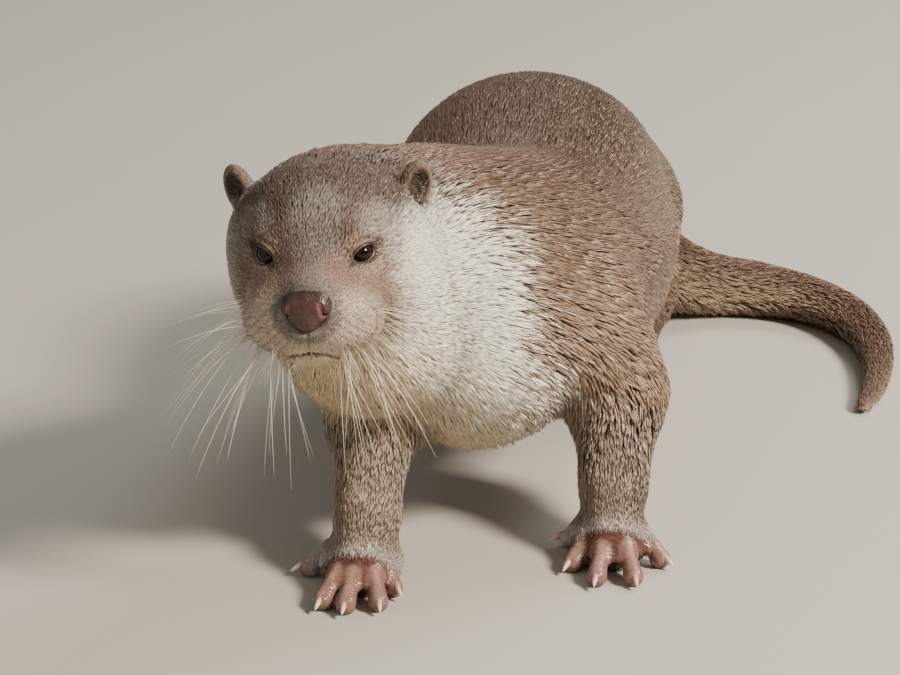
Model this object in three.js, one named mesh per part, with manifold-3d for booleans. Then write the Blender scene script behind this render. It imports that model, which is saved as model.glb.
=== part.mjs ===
// A life-size Eurasian river otter, standing on the floor with its back arched, its right forefoot a step
// ahead and its tail swept to its left. Millimetres, +Z up; the otter faces -Y and its left side is +X.
// The outer surface of the coat is one smooth distance field. Rings along the spine are drawn out to that
// field, joined to the limbs and feet, and parted into the named pieces with thin cuts.
import * as THREE from 'three';
import { mergeVertices } from 'three/addons/utils/BufferGeometryUtils.js';
import Module from 'manifold-3d';

const wasm = await Module();
wasm.setup();
const { Manifold, Mesh: SolidMesh } = wasm;

const v = (x, y, z) => new THREE.Vector3(x, y, z);
const rad = THREE.MathUtils.degToRad;

// ---------------------------------------------------------------- driving dimensions

const GAP = 0.3; // between two pieces that touch
const SPINE_SIDES = 20;
const TAIL_SIDES = 12;
const LIMB_SIDES = 10;
const SLEEVE_SIDES = 9;
const FORE_TOE = { sides: 6, steps: 2 };
const HIND_TOE = { sides: 5, steps: 1 };

// The point between the eyes, and how the head is carried, in degrees: turned a little to its left, nose a
// little down, left side a little up.
const HEAD_AT = v(-73.2, 0, 180);
const HEAD_YAW = 2.3;
const HEAD_PITCH = 6.5;
const HEAD_ROLL = 3;

// The body from behind the skull to the tip of the tail: centre, half width and half height of the coat.
const SPINE = [
  { name: 'poll', at: v(-74, 42, 176), wide: 46, tall: 36 },
  { name: 'nape', at: v(-63, 80, 164), wide: 56, tall: 49 },
  { name: 'neck base', at: v(-34, 118, 147), wide: 70, tall: 60 },
  { name: 'withers', at: v(-5, 158, 128), wide: 81, tall: 68 },
  { name: 'ribs', at: v(0, 205, 120), wide: 87, tall: 68 },
  { name: 'loin', at: v(-2, 260, 124), wide: 87, tall: 70 },
  { name: 'arch', at: v(-5, 315, 127), wide: 81, tall: 71 },
  { name: 'hips', at: v(-6, 368, 116), wide: 74, tall: 67 },
  { name: 'rump', at: v(5, 418, 95), wide: 63, tall: 56 },
  { name: 'tail root', at: v(27, 456, 64), wide: 43, tall: 39 },
  { name: 'tail bend', at: v(52, 484, 37), wide: 31, tall: 28 },
  { name: 'tail on the floor', at: v(84, 502, 21), wide: 25, tall: 21 },
  { name: 'tail quarter', at: v(118, 506, 17), wide: 21.5, tall: 17.5 },
  { name: 'tail turn', at: v(150, 496, 14.5), wide: 19, tall: 15 },
  { name: 'tail middle', at: v(175, 472, 12.5), wide: 16.5, tall: 13 },
  { name: 'tail flank', at: v(190, 438, 10.5), wide: 13.5, tall: 11 },
  { name: 'tail three quarters', at: v(196, 400, 8.8), wide: 10.8, tall: 9.2 },
  { name: 'tail end', at: v(196, 360, 7), wide: 8, tall: 7.3 },
  { name: 'tail tip', at: v(190, 322, 4.6), wide: 4.8, tall: 4.8 },
];

// Limbs: joint centres, and the radius of the coat round each.
const FORELIMBS = {
  left: { shoulder: v(48, 122, 112), elbow: v(64, 126, 74), wrist: v(66, 90, 33), palm: v(67, 67, 15) },
  right: { shoulder: v(-50, 104, 106), elbow: v(-61, 98, 68), wrist: v(-55, 38, 31), palm: v(-56, 15, 15) },
};
const FORELIMB_RADII = { shoulder: 36, elbow: 25, wrist: 17, palm: 12 };
const ARM_CUTS = {
  elbow: { drop: v(0, 0, -8), facing: v(0, 0.35, 1) },
  wrist: { drop: v(0, 0, -3), facing: v(0, 0.75, 1) },
};
const HINDLIMBS = {
  left: { hip: v(37, 376, 100), knee: v(46, 326, 70), hock: v(50, 402, 32), instep: v(50, 346, 18) },
  right: { hip: v(-44, 370, 100), knee: v(-58, 320, 70), hock: v(-60, 394, 32), instep: v(-62, 338, 18) },
};
const HINDLIMB_RADII = { hip: 44, knee: 32, hock: 17, instep: 15 };
const LEG_CUTS = {
  knee: { drop: v(0, 6, -16), facing: v(0, -0.2, 1) },
  hock: { drop: v(0, 0, -7), facing: v(0, 0.3, 1) },
};
// The part of each limb that is cut out of the trunk: its radii at the two joints.
const ARM_ROOT = { shoulder: 34, elbow: 31 };
const LEG_ROOT = { hip: 44, knee: 40 };

// Feet stand on the floor. Each toe, from the inner to the outer one, has its angle outwards from straight
// ahead and its reach from the point below the wrist or hock to the end of its pad.
const FEET = {
  left_forepaw: {
    from: v(66, 90, 0), side: 1, hind: false, angles: [-84, -25, -3, 17, 48], reach: [29, 46, 60, 59, 42],
  },
  right_forepaw: {
    from: v(-55, 38, 0), side: -1, hind: false, angles: [-31, -15, 2, 15, 72], reach: [42, 58, 62, 60, 36],
  },
  left_hindpaw: {
    from: v(50, 402, 0), side: 1, hind: true, angles: [-13, -7, -1, 6, 13], reach: [94, 107, 116, 115, 103],
  },
  right_hindpaw: {
    from: v(-60, 394, 0), side: -1, hind: true, angles: [-11, -5, 1, 8, 16], reach: [94, 107, 116, 115, 103],
  },
};
// Palm: centre ahead of the wrist or hock and above the floor, half length, width and height, and how far its
// rear is tipped up. Knuckles: share of a toe's reach, and height.
const FORE_FOOT = {
  palmAhead: 16, palmUp: 11.5, palm: v(25, 22, 12.5), tip: 20,
  knuckleShare: 0.55, knuckleUp: 13, toe: 5.8, web: 0.6,
};
const HIND_FOOT = {
  palmAhead: 50, palmUp: 11, palm: v(34, 22, 12.5), tip: 8,
  knuckleShare: 0.62, knuckleUp: 12, toe: 6.2, web: 0.8,
};
const WEB_THICK = 2.4;
const CLAW = { length: 8.5, radius: 1.9, tip: 0.6, sink: 3.5, sag: 0.8, drop: 4 };

const EYE = { forward: 0.5, apart: 22.3, up: 1.2, deep: 6.3, wide: 6.3, tall: 6.3 };
const ORBIT = { forward: 10.5, apart: 27, up: 3.5, deep: 7, wide: 9, tall: 6.5 };
const EAR = { forward: -52, apart: 44, up: 14, thick: 6, wide: 9.5, tall: 15.5, lean: 14, turn: 24 };
const EAR_CUP = { forward: 5.2, outward: 0.8, up: 2, thick: 5.2, wideShare: 0.68, tallShare: 0.72 };
const NOSE = { forward: 37.5, up: -11.5, deep: 7.5, wide: 13, tall: 10 };
const SKULL_END = -66;
const MOUTH_UP = -37.5;
const NOSTRIL = { apart: 9.5, up: -12.5, forward: 44, deep: 5, wide: 2.3, tall: 3.4 };

// ---------------------------------------------------------------- distance fields

function ellipsoid(p, centre, radii) {
  const q = p.clone().sub(centre);
  const near = q.clone().divide(radii).length();
  const slope = q.divide(radii).divide(radii).length() + 1e-9;
  return (near * (near - 1)) / slope;
}

// A limb segment that tapers from radius ra at a to radius rb at b.
function taper(p, a, b, ra, rb) {
  const axis = b.clone().sub(a);
  const t = THREE.MathUtils.clamp(p.clone().sub(a).dot(axis) / axis.lengthSq(), 0, 1);
  return p.distanceTo(a.clone().addScaledVector(axis, t)) - THREE.MathUtils.lerp(ra, rb, t);
}

// The union of two distances, with a fillet of about k between them.
function blend(a, b, k) {
  const h = Math.max(k - Math.abs(a - b), 0) / k;
  return Math.min(a, b) - (h * h * k) / 4;
}

// Rings along a smooth curve through the points, each with its direction and an upright frame.
function ringsAlong(points, upright, count) {
  const curve = new THREE.CatmullRomCurve3(points, false, 'catmullrom', 0.5);
  return Array.from({ length: count + 1 }, (_, i) => {
    const along = curve.getTangent(i / count);
    const up = upright.clone().addScaledVector(along, -upright.dot(along)).normalize();
    const side = new THREE.Vector3().crossVectors(along, up);
    return { centre: curve.getPoint(i / count), along, up, side };
  });
}

const SPINE_SPLITS = 4;
const SPINE_STEPS = SPINE_SPLITS * (SPINE.length - 1);
const sizes = new THREE.CatmullRomCurve3(
  SPINE.map((s) => v(s.wide, s.tall, 0)), false, 'catmullrom', 0.5);
const spineRings = ringsAlong(SPINE.map((s) => s.at), v(0, 0, 1), SPINE_STEPS);
spineRings.forEach((ring, i) => {
  const size = sizes.getPoint(i / SPINE_STEPS);
  ring.wide = size.x;
  ring.tall = size.y;
});

// Distance to the elliptical tube round the spine, measured from the nearest place on its centre line.
function spineField(p) {
  let best = Infinity;
  let at = null;
  for (let i = 0; i < SPINE_STEPS; i++) {
    const a = spineRings[i];
    const b = spineRings[i + 1];
    const axis = b.centre.clone().sub(a.centre);
    const t = THREE.MathUtils.clamp(p.clone().sub(a.centre).dot(axis) / axis.lengthSq(), 0, 1);
    const far = p.distanceToSquared(a.centre.clone().addScaledVector(axis, t));
    if (far < best) {
      best = far;
      at = { a, b, t };
    }
  }
  const { a, b, t } = at;
  const mix = (key) => a[key].clone().lerp(b[key], t);
  const q = p.clone().sub(mix('centre'));
  const wide = THREE.MathUtils.lerp(a.wide, b.wide, t);
  const tall = THREE.MathUtils.lerp(a.tall, b.tall, t);
  const local = v(q.dot(mix('side')), q.dot(mix('up')), q.dot(mix('along')));
  return ellipsoid(local, v(0, 0, 0), v(wide, tall, wide));
}

// The head's own frame: x forward, y to its left, z up, from the point between the eyes.
const headFrame = new THREE.Matrix4()
  .makeRotationZ(rad(HEAD_YAW - 90))
  .multiply(new THREE.Matrix4().makeRotationY(rad(HEAD_PITCH)))
  .multiply(new THREE.Matrix4().makeRotationX(rad(HEAD_ROLL)))
  .setPosition(HEAD_AT);
const toHead = headFrame.clone().invert();
const fromHead = (x, y, z) => v(x, y, z).applyMatrix4(headFrame);

function headField(world) {
  const p = world.clone().applyMatrix4(toHead);
  const half = v(p.x, Math.abs(p.y), p.z); // what comes in pairs is measured on one side
  let d = ellipsoid(p, v(-47, 0, -3), v(54, 45, 27)); // braincase
  d = blend(d, ellipsoid(half, v(-26, 25, -22), v(34, 23, 25)), 16); // cheeks and jaw muscles
  d = blend(d, taper(p, v(-8, 0, -16), v(26, 0, -19), 26, 20), 15); // muzzle
  d = blend(d, ellipsoid(half, v(23, 14.5, -23), v(17, 20, 17)), 12); // whisker pads
  d = blend(d, ellipsoid(half, v(9, 19.5, -22), v(22, 14, 17)), 10); // from cheek to pad
  d = blend(d, taper(p, v(-6, 0, -2), v(31, 0, -10.5), 12, 9.5), 8); // bridge of the nose
  d = blend(d, ellipsoid(half, v(-10, 20, 7), v(11, 9, 6)), 7); // brows
  return blend(d, ellipsoid(p, v(15, 0, -38), v(22, 18, 11.5)), 9); // chin
}

// The trunk with the masses that the limbs grow from, but not the free part of the limbs.
function trunkField(p) {
  let d = blend(spineField(p), headField(p), 24);
  d = blend(d, ellipsoid(p, v(-12, 112, 98), v(58, 54, 52)), 26); // brisket
  d = blend(d, ellipsoid(p, v(-57, 56, 129), v(52, 46, 52)), 26); // throat
  for (const limb of Object.values(FORELIMBS))
    d = blend(d, taper(p, limb.shoulder, limb.elbow, FORELIMB_RADII.shoulder, FORELIMB_RADII.elbow), 20);
  for (const limb of Object.values(HINDLIMBS))
    d = blend(d, taper(p, limb.hip, limb.knee, HINDLIMB_RADII.hip, HINDLIMB_RADII.knee), 22);
  return d;
}

// ---------------------------------------------------------------- from rings to solids

// A closed surface through rings of equally many points, with its ends drawn to a point each.
function skinOver(rings, first, last) {
  const sides = rings[0].length;
  const points = [first, ...rings.flat(), last];
  const index = [];
  const at = (i, k) => 1 + i * sides + (k % sides);
  for (let k = 0; k < sides; k++) {
    index.push(0, at(0, k), at(0, k + 1));
    for (let i = 0; i + 1 < rings.length; i++) {
      index.push(at(i, k), at(i + 1, k), at(i, k + 1));
      index.push(at(i, k + 1), at(i + 1, k), at(i + 1, k + 1));
    }
    index.push(points.length - 1, at(rings.length - 1, k + 1), at(rings.length - 1, k));
  }
  const geometry = new THREE.BufferGeometry().setFromPoints(points);
  geometry.setIndex(index);
  return geometry;
}

// A manifold-3d solid of a closed geometry, with its faces turned outwards.
function solidOf(geometry) {
  const bare = geometry.clone();
  bare.deleteAttribute('normal');
  bare.deleteAttribute('uv');
  const merged = mergeVertices(bare, 1e-3);
  const triVerts = new Uint32Array(merged.index.array);
  const build = () =>
    new Manifold(new SolidMesh({ numProp: 3, vertProperties: merged.attributes.position.array, triVerts }));
  const made = build();
  if (made.volume() > 0) return made;
  for (let i = 0; i < triVerts.length; i += 3) triVerts.subarray(i, i + 3).reverse();
  return build();
}

function around(ring, sides, radius) {
  return Array.from({ length: sides }, (_, k) => {
    const turn = (2 * Math.PI * k) / sides;
    const out = ring.side.clone().multiplyScalar(Math.cos(turn)).addScaledVector(ring.up, Math.sin(turn));
    const far = typeof radius === 'function' ? radius(ring, out) : radius;
    return ring.centre.clone().addScaledVector(out, far);
  });
}

// How far out from the ring's centre the field's surface lies.
const MARCH = 3;
const MARCH_LIMIT = 150;
const HALVINGS = 7;
const surfaceOf = (field) => (ring, out) => {
  const inside = (r) => field(ring.centre.clone().addScaledVector(out, r)) < 0;
  let far = MARCH;
  while (far < MARCH_LIMIT && inside(far)) far += MARCH;
  let near = far - MARCH;
  for (let i = 0; i < HALVINGS; i++) {
    const middle = (near + far) / 2;
    if (inside(middle)) near = middle;
    else far = middle;
  }
  return far;
};

function wrap(rings, sides, field) {
  const drawn = rings.map((ring) => around(ring, sides, surfaceOf(field)));
  return solidOf(skinOver(drawn, rings[0].centre, rings.at(-1).centre));
}

// A round bar through the points with a radius at each, and a domed far end.
const DOME = [[0.6, 0.8]]; // how far on, and how wide, in radii
function bar(points, radii, sides, count, upright = v(0, 0, 1)) {
  const rings = ringsAlong(points, upright, count);
  const last = rings.at(-1);
  const ends = radii.at(-1);
  const widths = rings.map((_, i) => {
    const t = (i / count) * (radii.length - 1);
    const n = Math.min(Math.floor(t), radii.length - 2);
    return THREE.MathUtils.lerp(radii[n], radii[n + 1], t - n);
  });
  const drawn = rings.map((ring, i) => around(ring, sides, widths[i]));
  for (const [on, wide] of DOME) {
    const centre = last.centre.clone().addScaledVector(last.along, on * ends);
    drawn.push(around({ ...last, centre }, sides, wide * ends));
  }
  return solidOf(skinOver(drawn, rings[0].centre, last.centre.clone().addScaledVector(last.along, ends)));
}

function ball(centre, radii, frame, wide = 14, tall = 10) {
  const geometry = new THREE.SphereGeometry(1, wide, tall);
  const place = new THREE.Matrix4().compose(centre, new THREE.Quaternion(), radii);
  return solidOf(geometry.applyMatrix4(frame ? frame.clone().multiply(place) : place));
}

const join = (solids) => solids.reduce((all, one) => all.add(one));
const largest = (solid) => solid.decompose().sort((a, b) => b.volume() - a.volume())[0];

// ---------------------------------------------------------------- head, body and limbs

// Upright rings from just behind the tip of the muzzle to the arch of the back, then rings square to the
// spine as it drops to the root of the tail. The tail starts from the last of them.
const HEAD_RINGS = [42.5, 38, 32, 25, 17, 10, 3, -4, -12, -21, -31];
const MUZZLE_MIDDLE = -19;
const upright = { along: v(0, 1, 0), up: v(0, 0, 1), side: v(1, 0, 0) };
const station = (name) => SPINE.findIndex((one) => one.name === name) * SPINE_SPLITS;
const headRings = HEAD_RINGS.map((x) => {
  const rise = Math.max(0, 14 - x) * 0.3; // towards the middle of the skull
  return { ...upright, centre: fromHead(x, 0, MUZZLE_MIDDLE + rise) };
});
const archAt = spineRings[station('arch')].centre.y;
const backRings = spineRings
  .slice(0, station('tail root') + 1)
  .filter((_, i) => i % 2 === 0)
  .map((ring) => (ring.centre.y > archAt ? ring : { ...ring, ...upright }));
const torso = wrap([...headRings, ...backRings], SPINE_SIDES, trunkField);
const tailRings = spineRings.slice(station('tail root')).filter((_, i) => i % 3 === 0);
const tail = wrap(tailRings, TAIL_SIDES, trunkField);

const SIDEWAYS = v(1, 0, 0);
// A bar through the joints of a limb, grown all round, at its flat near end too.
function limbBar(limb, radii, joints, sides, steps, grow) {
  const points = joints.map((joint) => limb[joint].clone());
  points[0].add(points[0].clone().sub(points[1]).setLength(grow));
  return bar(points, joints.map((joint) => radii[joint] + grow), sides, steps, SIDEWAYS);
}

// ---------------------------------------------------------------- feet

const footShape = (foot) => (foot.hind ? HIND_FOOT : FORE_FOOT);
const wayOf = (foot, i) => v(Math.sin(rad(foot.angles[i])) * foot.side, -Math.cos(rad(foot.angles[i])), 0);

// A toe: its knuckle, its middle joint and the middle of its pad.
function toeLine(foot, i) {
  const shape = footShape(foot);
  const knuckle = foot.reach[i] * shape.knuckleShare;
  const pad = foot.reach[i] - shape.toe;
  const point = (far, z) => foot.from.clone().addScaledVector(wayOf(foot, i), far).setZ(z);
  return [
    point(knuckle, shape.knuckleUp),
    point((knuckle + pad) / 2, shape.knuckleUp * 0.78),
    point(pad, shape.toe * 0.8),
  ];
}

function toeSolid(foot, i, grow) {
  const radius = footShape(foot).toe * (i === 0 ? 0.88 : 1);
  const { sides, steps } = foot.hind ? HIND_TOE : FORE_TOE;
  return bar(toeLine(foot, i), [radius + grow, radius * 0.95 + grow, radius + grow], sides, steps);
}

// The web between two toes: a thin sheet from the knuckles part of the way to the pads.
const WEB_UNDER = 0.4; // the lowest that its underside comes
function web(foot, i) {
  const shape = footShape(foot);
  const lines = [i, i + 1].map((toe) => new THREE.QuadraticBezierCurve3(...toeLine(foot, toe)));
  const rings = lines.map((line) => {
    const [back, front] = [0, shape.web].map((along) => line.getPoint(along));
    const above = [back, front].map((p) => p.clone().setZ(Math.max(p.z, WEB_THICK)));
    const below = [front, back].map((p) => p.clone().setZ(Math.max(p.z - WEB_THICK, WEB_UNDER)));
    return [...above, ...below];
  });
  const middle = (ring) => ring.reduce((sum, p) => sum.add(p), v(0, 0, 0)).divideScalar(ring.length);
  return solidOf(skinOver(rings, middle(rings[0]), middle(rings.at(-1))));
}

function footSolid(foot) {
  const shape = footShape(foot);
  const way = wayOf({ ...foot, angles: [0] }, 0);
  const palm = foot.from.clone().addScaledVector(way, shape.palmAhead).setZ(shape.palmUp);
  const frame = new THREE.Matrix4().makeRotationX(rad(shape.tip)).setPosition(palm);
  const pieces = [ball(v(0, 0, 0), v(shape.palm.y, shape.palm.x, shape.palm.z), frame, 8, 4)];
  for (let i = 0; i < 5; i++) {
    pieces.push(toeSolid(foot, i, 0));
    if (i < 4) pieces.push(web(foot, i));
  }
  return join(pieces);
}

// A claw: a short curved spike that sits on the upper side of the end of the toe.
function clawSolid(foot, i) {
  const toe = footShape(foot).toe;
  const pad = toeLine(foot, i)[2];
  const way = wayOf(foot, i);
  const root = pad.clone().addScaledVector(way, toe * 0.75 - CLAW.sink).setZ(pad.z + toe * 0.35);
  const middle = root.clone().addScaledVector(way, CLAW.length * 0.6).setZ(root.z - CLAW.sag);
  const tip = root.clone().addScaledVector(way, CLAW.length).setZ(root.z - CLAW.drop);
  const spike = bar([root, middle, tip], [CLAW.radius, CLAW.radius * 0.8, CLAW.tip], 4, foot.hind ? 1 : 2);
  return spike.subtract(toeSolid(foot, i, GAP));
}

// ---------------------------------------------------------------- ears, eyes and nose

// A round ear that leans out from the head and opens forward and a little outward.
const earFrame = (side) =>
  headFrame.clone()
    .multiply(new THREE.Matrix4().makeTranslation(EAR.forward, side * EAR.apart, EAR.up))
    .multiply(new THREE.Matrix4().makeRotationX(rad(-side * EAR.lean)))
    .multiply(new THREE.Matrix4().makeRotationZ(rad(side * EAR.turn)));
const earShell = (side, grow) =>
  ball(v(0, 0, 0), v(EAR.thick + grow, EAR.wide + grow, EAR.tall + grow), earFrame(side), 9, 6);
function earSolid(side) {
  const hollow = v(EAR_CUP.thick, EAR.wide * EAR_CUP.wideShare, EAR.tall * EAR_CUP.tallShare);
  const cup = ball(v(EAR_CUP.forward, side * EAR_CUP.outward, EAR_CUP.up), hollow, earFrame(side), 7, 4);
  return earShell(side, 0).subtract(cup);
}
// A ball let into the head at one of the dimensions above, grown for the gap round it.
function headBall({ forward, apart = 0, up, deep, wide, tall }, side, grow, round, high) {
  const radii = v(deep + grow, wide + grow, tall + grow);
  return ball(v(forward, side * apart, up), radii, headFrame, round, high);
}
const eyeSolid = (side, grow) => headBall(EYE, side, grow, 8, 5);
const orbit = (side) => headBall(ORBIT, side, 0, 8, 5);
const noseSolid = (grow) => headBall(NOSE, 0, grow, 9, 6);
const nostril = (side) => headBall(NOSTRIL, side, 0, 5, 4);

// ---------------------------------------------------------------- parting into named pieces

const group = new THREE.Group();
const coat = { color: 0x6b4e39, roughness: 0.85, metalness: 0 };
const throatCoat = { color: 0xd9ccb4, roughness: 0.85, metalness: 0 };
const footSkin = { color: 0x8a5a4a, roughness: 0.6, metalness: 0 };
const noseSkin = { color: 0x4a2c2c, roughness: 0.45, metalness: 0 };
const eyeGloss = { color: 0x17100c, roughness: 0.08, metalness: 0 };
const horn = { color: 0xd9b3a1, roughness: 0.4, metalness: 0 };

function addPiece(name, solid, finish) {
  const mesh = largest(solid).getMesh();
  const geometry = new THREE.BufferGeometry();
  geometry.setAttribute('position', new THREE.BufferAttribute(mesh.vertProperties, 3));
  geometry.setIndex(new THREE.BufferAttribute(mesh.triVerts, 1));
  geometry.computeVertexNormals();
  const piece = new THREE.Mesh(geometry, new THREE.MeshStandardMaterial(finish));
  piece.name = name;
  group.add(piece);
}

// The two halves of a solid on either side of a plane through a point, a gap apart.
function partAt(solid, point, normal) {
  const n = normal.clone().normalize();
  const offset = n.dot(point);
  return [
    solid.trimByPlane(n.toArray(), offset + GAP / 2),
    solid.trimByPlane(n.clone().negate().toArray(), -offset + GAP / 2),
  ];
}

const FLOOR = [0, 0, 1];
let flesh = torso.trimByPlane(FLOOR, 0);

// The root of each limb is cut from the trunk with a sleeve and joined to the free part of the limb, which is
// then parted at its joints. The trunk keeps a gap to both.
function addLimb(limb, root, free, freeGrown, cuts, names) {
  const sleeve = (grow) => limbBar(limb, root, Object.keys(root), SLEEVE_SIDES, 1, grow);
  let rest = largest(flesh.intersect(sleeve(0))).add(free).trimByPlane(FLOOR, 0);
  flesh = flesh.subtract(sleeve(GAP)).subtract(freeGrown);
  Object.entries(cuts).forEach(([joint, cut], i) => {
    const [piece, onward] = partAt(rest, limb[joint].clone().add(cut.drop), cut.facing);
    addPiece(names[i], piece, coat);
    rest = onward;
  });
  addPiece(names.at(-1), rest, footSkin);
}
for (const side of ['left', 'right']) {
  const fore = FORELIMBS[side];
  const arm = (grow) => limbBar(fore, FORELIMB_RADII, ['elbow', 'wrist', 'palm'], LIMB_SIDES, 4, grow);
  const armAndPaw = arm(0).add(footSolid(FEET[`${side}_forepaw`]));
  const armNames = [`${side}_upper_arm`, `${side}_forearm`, `${side}_forepaw`];
  addLimb(fore, ARM_ROOT, armAndPaw, arm(GAP), ARM_CUTS, armNames);

  const hind = HINDLIMBS[side];
  const shank = (grow) => limbBar(hind, HINDLIMB_RADII, ['knee', 'hock'], LIMB_SIDES, 2, grow);
  const sole = limbBar(hind, HINDLIMB_RADII, ['hock', 'instep'], LIMB_SIDES, 1, 0);
  const shankAndPaw = join([shank(0), sole, footSolid(FEET[`${side}_hindpaw`])]);
  const legNames = [`${side}_thigh`, `${side}_shank`, `${side}_hindpaw`];
  addLimb(hind, LEG_ROOT, shankAndPaw, shank(GAP), LEG_CUTS, legNames);
}
for (const [name, foot] of Object.entries(FEET))
  for (let i = 0; i < 5; i++) addPiece(`${name}_claw_${i + 1}`, clawSolid(foot, i), horn);

// Ears, eyes and nose are let into the head.
for (const [side, outward] of [['left', 1], ['right', -1]]) {
  addPiece(`${side}_ear`, earSolid(outward), coat);
  flesh = flesh.subtract(earShell(outward, GAP)).subtract(orbit(outward)).subtract(eyeSolid(outward, GAP));
  addPiece(`${side}_eye`, eyeSolid(outward, 0), eyeGloss);
}
flesh = flesh.subtract(noseSolid(GAP));
addPiece('nose', noseSolid(0).subtract(nostril(1)).subtract(nostril(-1)), noseSkin);

// The head, with the jaw and the throat below the line of the mouth.
const headDirection = (x, y, z) => v(x, y, z).transformDirection(headFrame);
const [beyond, head] = partAt(flesh, fromHead(SKULL_END, 0, 0), headDirection(-1, 0, -0.7));
const [upperHead, underMouth] = partAt(head, fromHead(0, 0, MOUTH_UP), headDirection(0, 0, 1));
addPiece('head', upperHead, coat);
addPiece('jaw', underMouth, throatCoat);

// Along the spine: the neck, chest, loin and rump, then three lengths of tail.
function partAlong(solid, lengths, lastName) {
  let rest = solid;
  for (const [name, end, finish] of lengths) {
    const { centre, along } = spineRings[station(end)];
    const [onward, piece] = partAt(rest, centre, along);
    addPiece(name, piece, finish);
    rest = onward;
  }
  addPiece(lastName, rest, coat);
}
const trunkLengths = [['neck', 'neck base', throatCoat], ['chest', 'ribs', coat], ['loin', 'arch', coat]];
partAlong(beyond, trunkLengths, 'rump');
const { along: tailWay, centre: tailStart } = tailRings[0];
const freeTail = tail.trimByPlane(FLOOR, 0).trimByPlane(tailWay.toArray(), tailWay.dot(tailStart) + GAP);
partAlong(freeTail, [['tail_base', 'tail quarter', coat], ['tail_middle', 'tail flank', coat]], 'tail_tip');

// The floor is at z = 0, and the frame's origin is in the middle of the animal's length and width.
const middle = new THREE.Box3().setFromObject(group).getCenter(v(0, 0, 0));
for (const piece of group.children) piece.geometry.translate(-middle.x, -middle.y, 0);

export default group;
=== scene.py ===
import math

import bmesh
import bpy
import numpy as np
from mathutils import Matrix, Vector
from mathutils.kdtree import KDTree


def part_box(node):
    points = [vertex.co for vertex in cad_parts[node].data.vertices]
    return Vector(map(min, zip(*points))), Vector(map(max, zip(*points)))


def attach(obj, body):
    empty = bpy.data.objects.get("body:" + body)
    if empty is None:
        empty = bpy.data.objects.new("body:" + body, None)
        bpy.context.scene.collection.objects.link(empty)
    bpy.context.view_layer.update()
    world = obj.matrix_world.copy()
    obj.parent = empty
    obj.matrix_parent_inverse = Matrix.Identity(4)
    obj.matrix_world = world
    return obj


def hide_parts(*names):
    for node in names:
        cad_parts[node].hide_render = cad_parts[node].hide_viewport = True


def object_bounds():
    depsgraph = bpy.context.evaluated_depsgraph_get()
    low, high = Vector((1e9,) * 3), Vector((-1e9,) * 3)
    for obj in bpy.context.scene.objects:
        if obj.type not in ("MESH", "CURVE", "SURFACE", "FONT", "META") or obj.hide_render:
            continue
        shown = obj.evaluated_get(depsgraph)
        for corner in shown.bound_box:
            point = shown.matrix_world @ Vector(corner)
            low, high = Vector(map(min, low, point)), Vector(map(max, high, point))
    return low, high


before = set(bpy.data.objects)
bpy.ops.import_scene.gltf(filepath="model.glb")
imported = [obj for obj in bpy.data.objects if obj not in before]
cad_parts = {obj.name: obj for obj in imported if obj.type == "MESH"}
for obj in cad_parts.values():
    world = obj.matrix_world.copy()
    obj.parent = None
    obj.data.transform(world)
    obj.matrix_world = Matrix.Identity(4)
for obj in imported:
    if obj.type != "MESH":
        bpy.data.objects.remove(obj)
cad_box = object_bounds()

# ---------------------------------------------------------------------------------------------------------
# The animal's plan. A river otter stands square on the floor with its back arched. It is laid out in
# millimetres, facing -Y with its left side at +X; its left eye shows where that plan lies in the frame.
HEAD_AT = np.array([-73.2, 0.0, 180.0])  # the point between the eyes
HEAD_YAW = math.radians(2.3)
HEAD_PITCH = math.radians(6.5)
HEAD_ROLL = math.radians(3)
EYE_AT = np.array([0.5, 22.3, 1.2])  # in the head: forward, to its left, up
EYE_RADIUS = 6.3
MM = 0.001

HEAD_TURNS = (Matrix.Rotation(HEAD_YAW - math.pi / 2, 3, "Z") @ Matrix.Rotation(HEAD_PITCH, 3, "Y")
              @ Matrix.Rotation(HEAD_ROLL, 3, "X"))
HEAD_AXES = np.array(HEAD_TURNS.transposed())  # rows: forward, left, up


def in_head(points):
    return (points - HEAD_AT) @ HEAD_AXES.T


def from_head(points):
    return HEAD_AT + np.asarray(points, float) @ HEAD_AXES


def to_left(here):
    """Points in the head, with those on its right side mirrored to the left."""
    return here * (1, 0, 1) + np.abs(here) * (0, 1, 0)


eye_low, eye_high = (np.array(corner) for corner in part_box("left_eye"))
PLAN_TO_FRAME = (eye_low + eye_high) / 2 - from_head(EYE_AT) * MM


def placed(points):
    return np.asarray(points, float) * MM + PLAN_TO_FRAME


# ---------------------------------------------------------------------------------------------------------
# The room: a plain pale floor and sweep, a warm key from the animal's left, a large weak fill and a rim.
# The camera looks down on the head from a little to the animal's left, as a person standing near it would.
def srgb(code):
    channels = [int(code[i:i + 2], 16) / 255 for i in (1, 3, 5)]
    return [c / 12.92 if c <= 0.04045 else ((c + 0.055) / 1.055) ** 2.4 for c in channels]


def node(tree, kind, settings=None, **links):
    """Adds a node, sets its properties and unlinked inputs, and links the named inputs."""
    made = tree.nodes.new(kind)
    for key, value in (settings or {}).items():
        if isinstance(key, str) and hasattr(made, key):
            setattr(made, key, value)
        else:
            made.inputs[key].default_value = value
    for key, source in links.items():
        tree.links.new(source, made.inputs[int(key[1:]) if key[1:].isdigit() else key.replace("_", " ")])
    return made


def new_material(name, **fixed):
    """A material with a Principled shader whose even values are set on its own sockets."""
    material = bpy.data.materials.new(name)
    material.use_nodes = True
    shader = material.node_tree.nodes["Principled BSDF"]
    for key, value in fixed.items():
        shader.inputs[key.replace("_", " ")].default_value = value
    return material, material.node_tree, shader


def feed(shader, **sources):
    """Links what the shader takes from other nodes."""
    for key, source in sources.items():
        shader.id_data.links.new(source, shader.inputs[key.replace("_", " ")])


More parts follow.
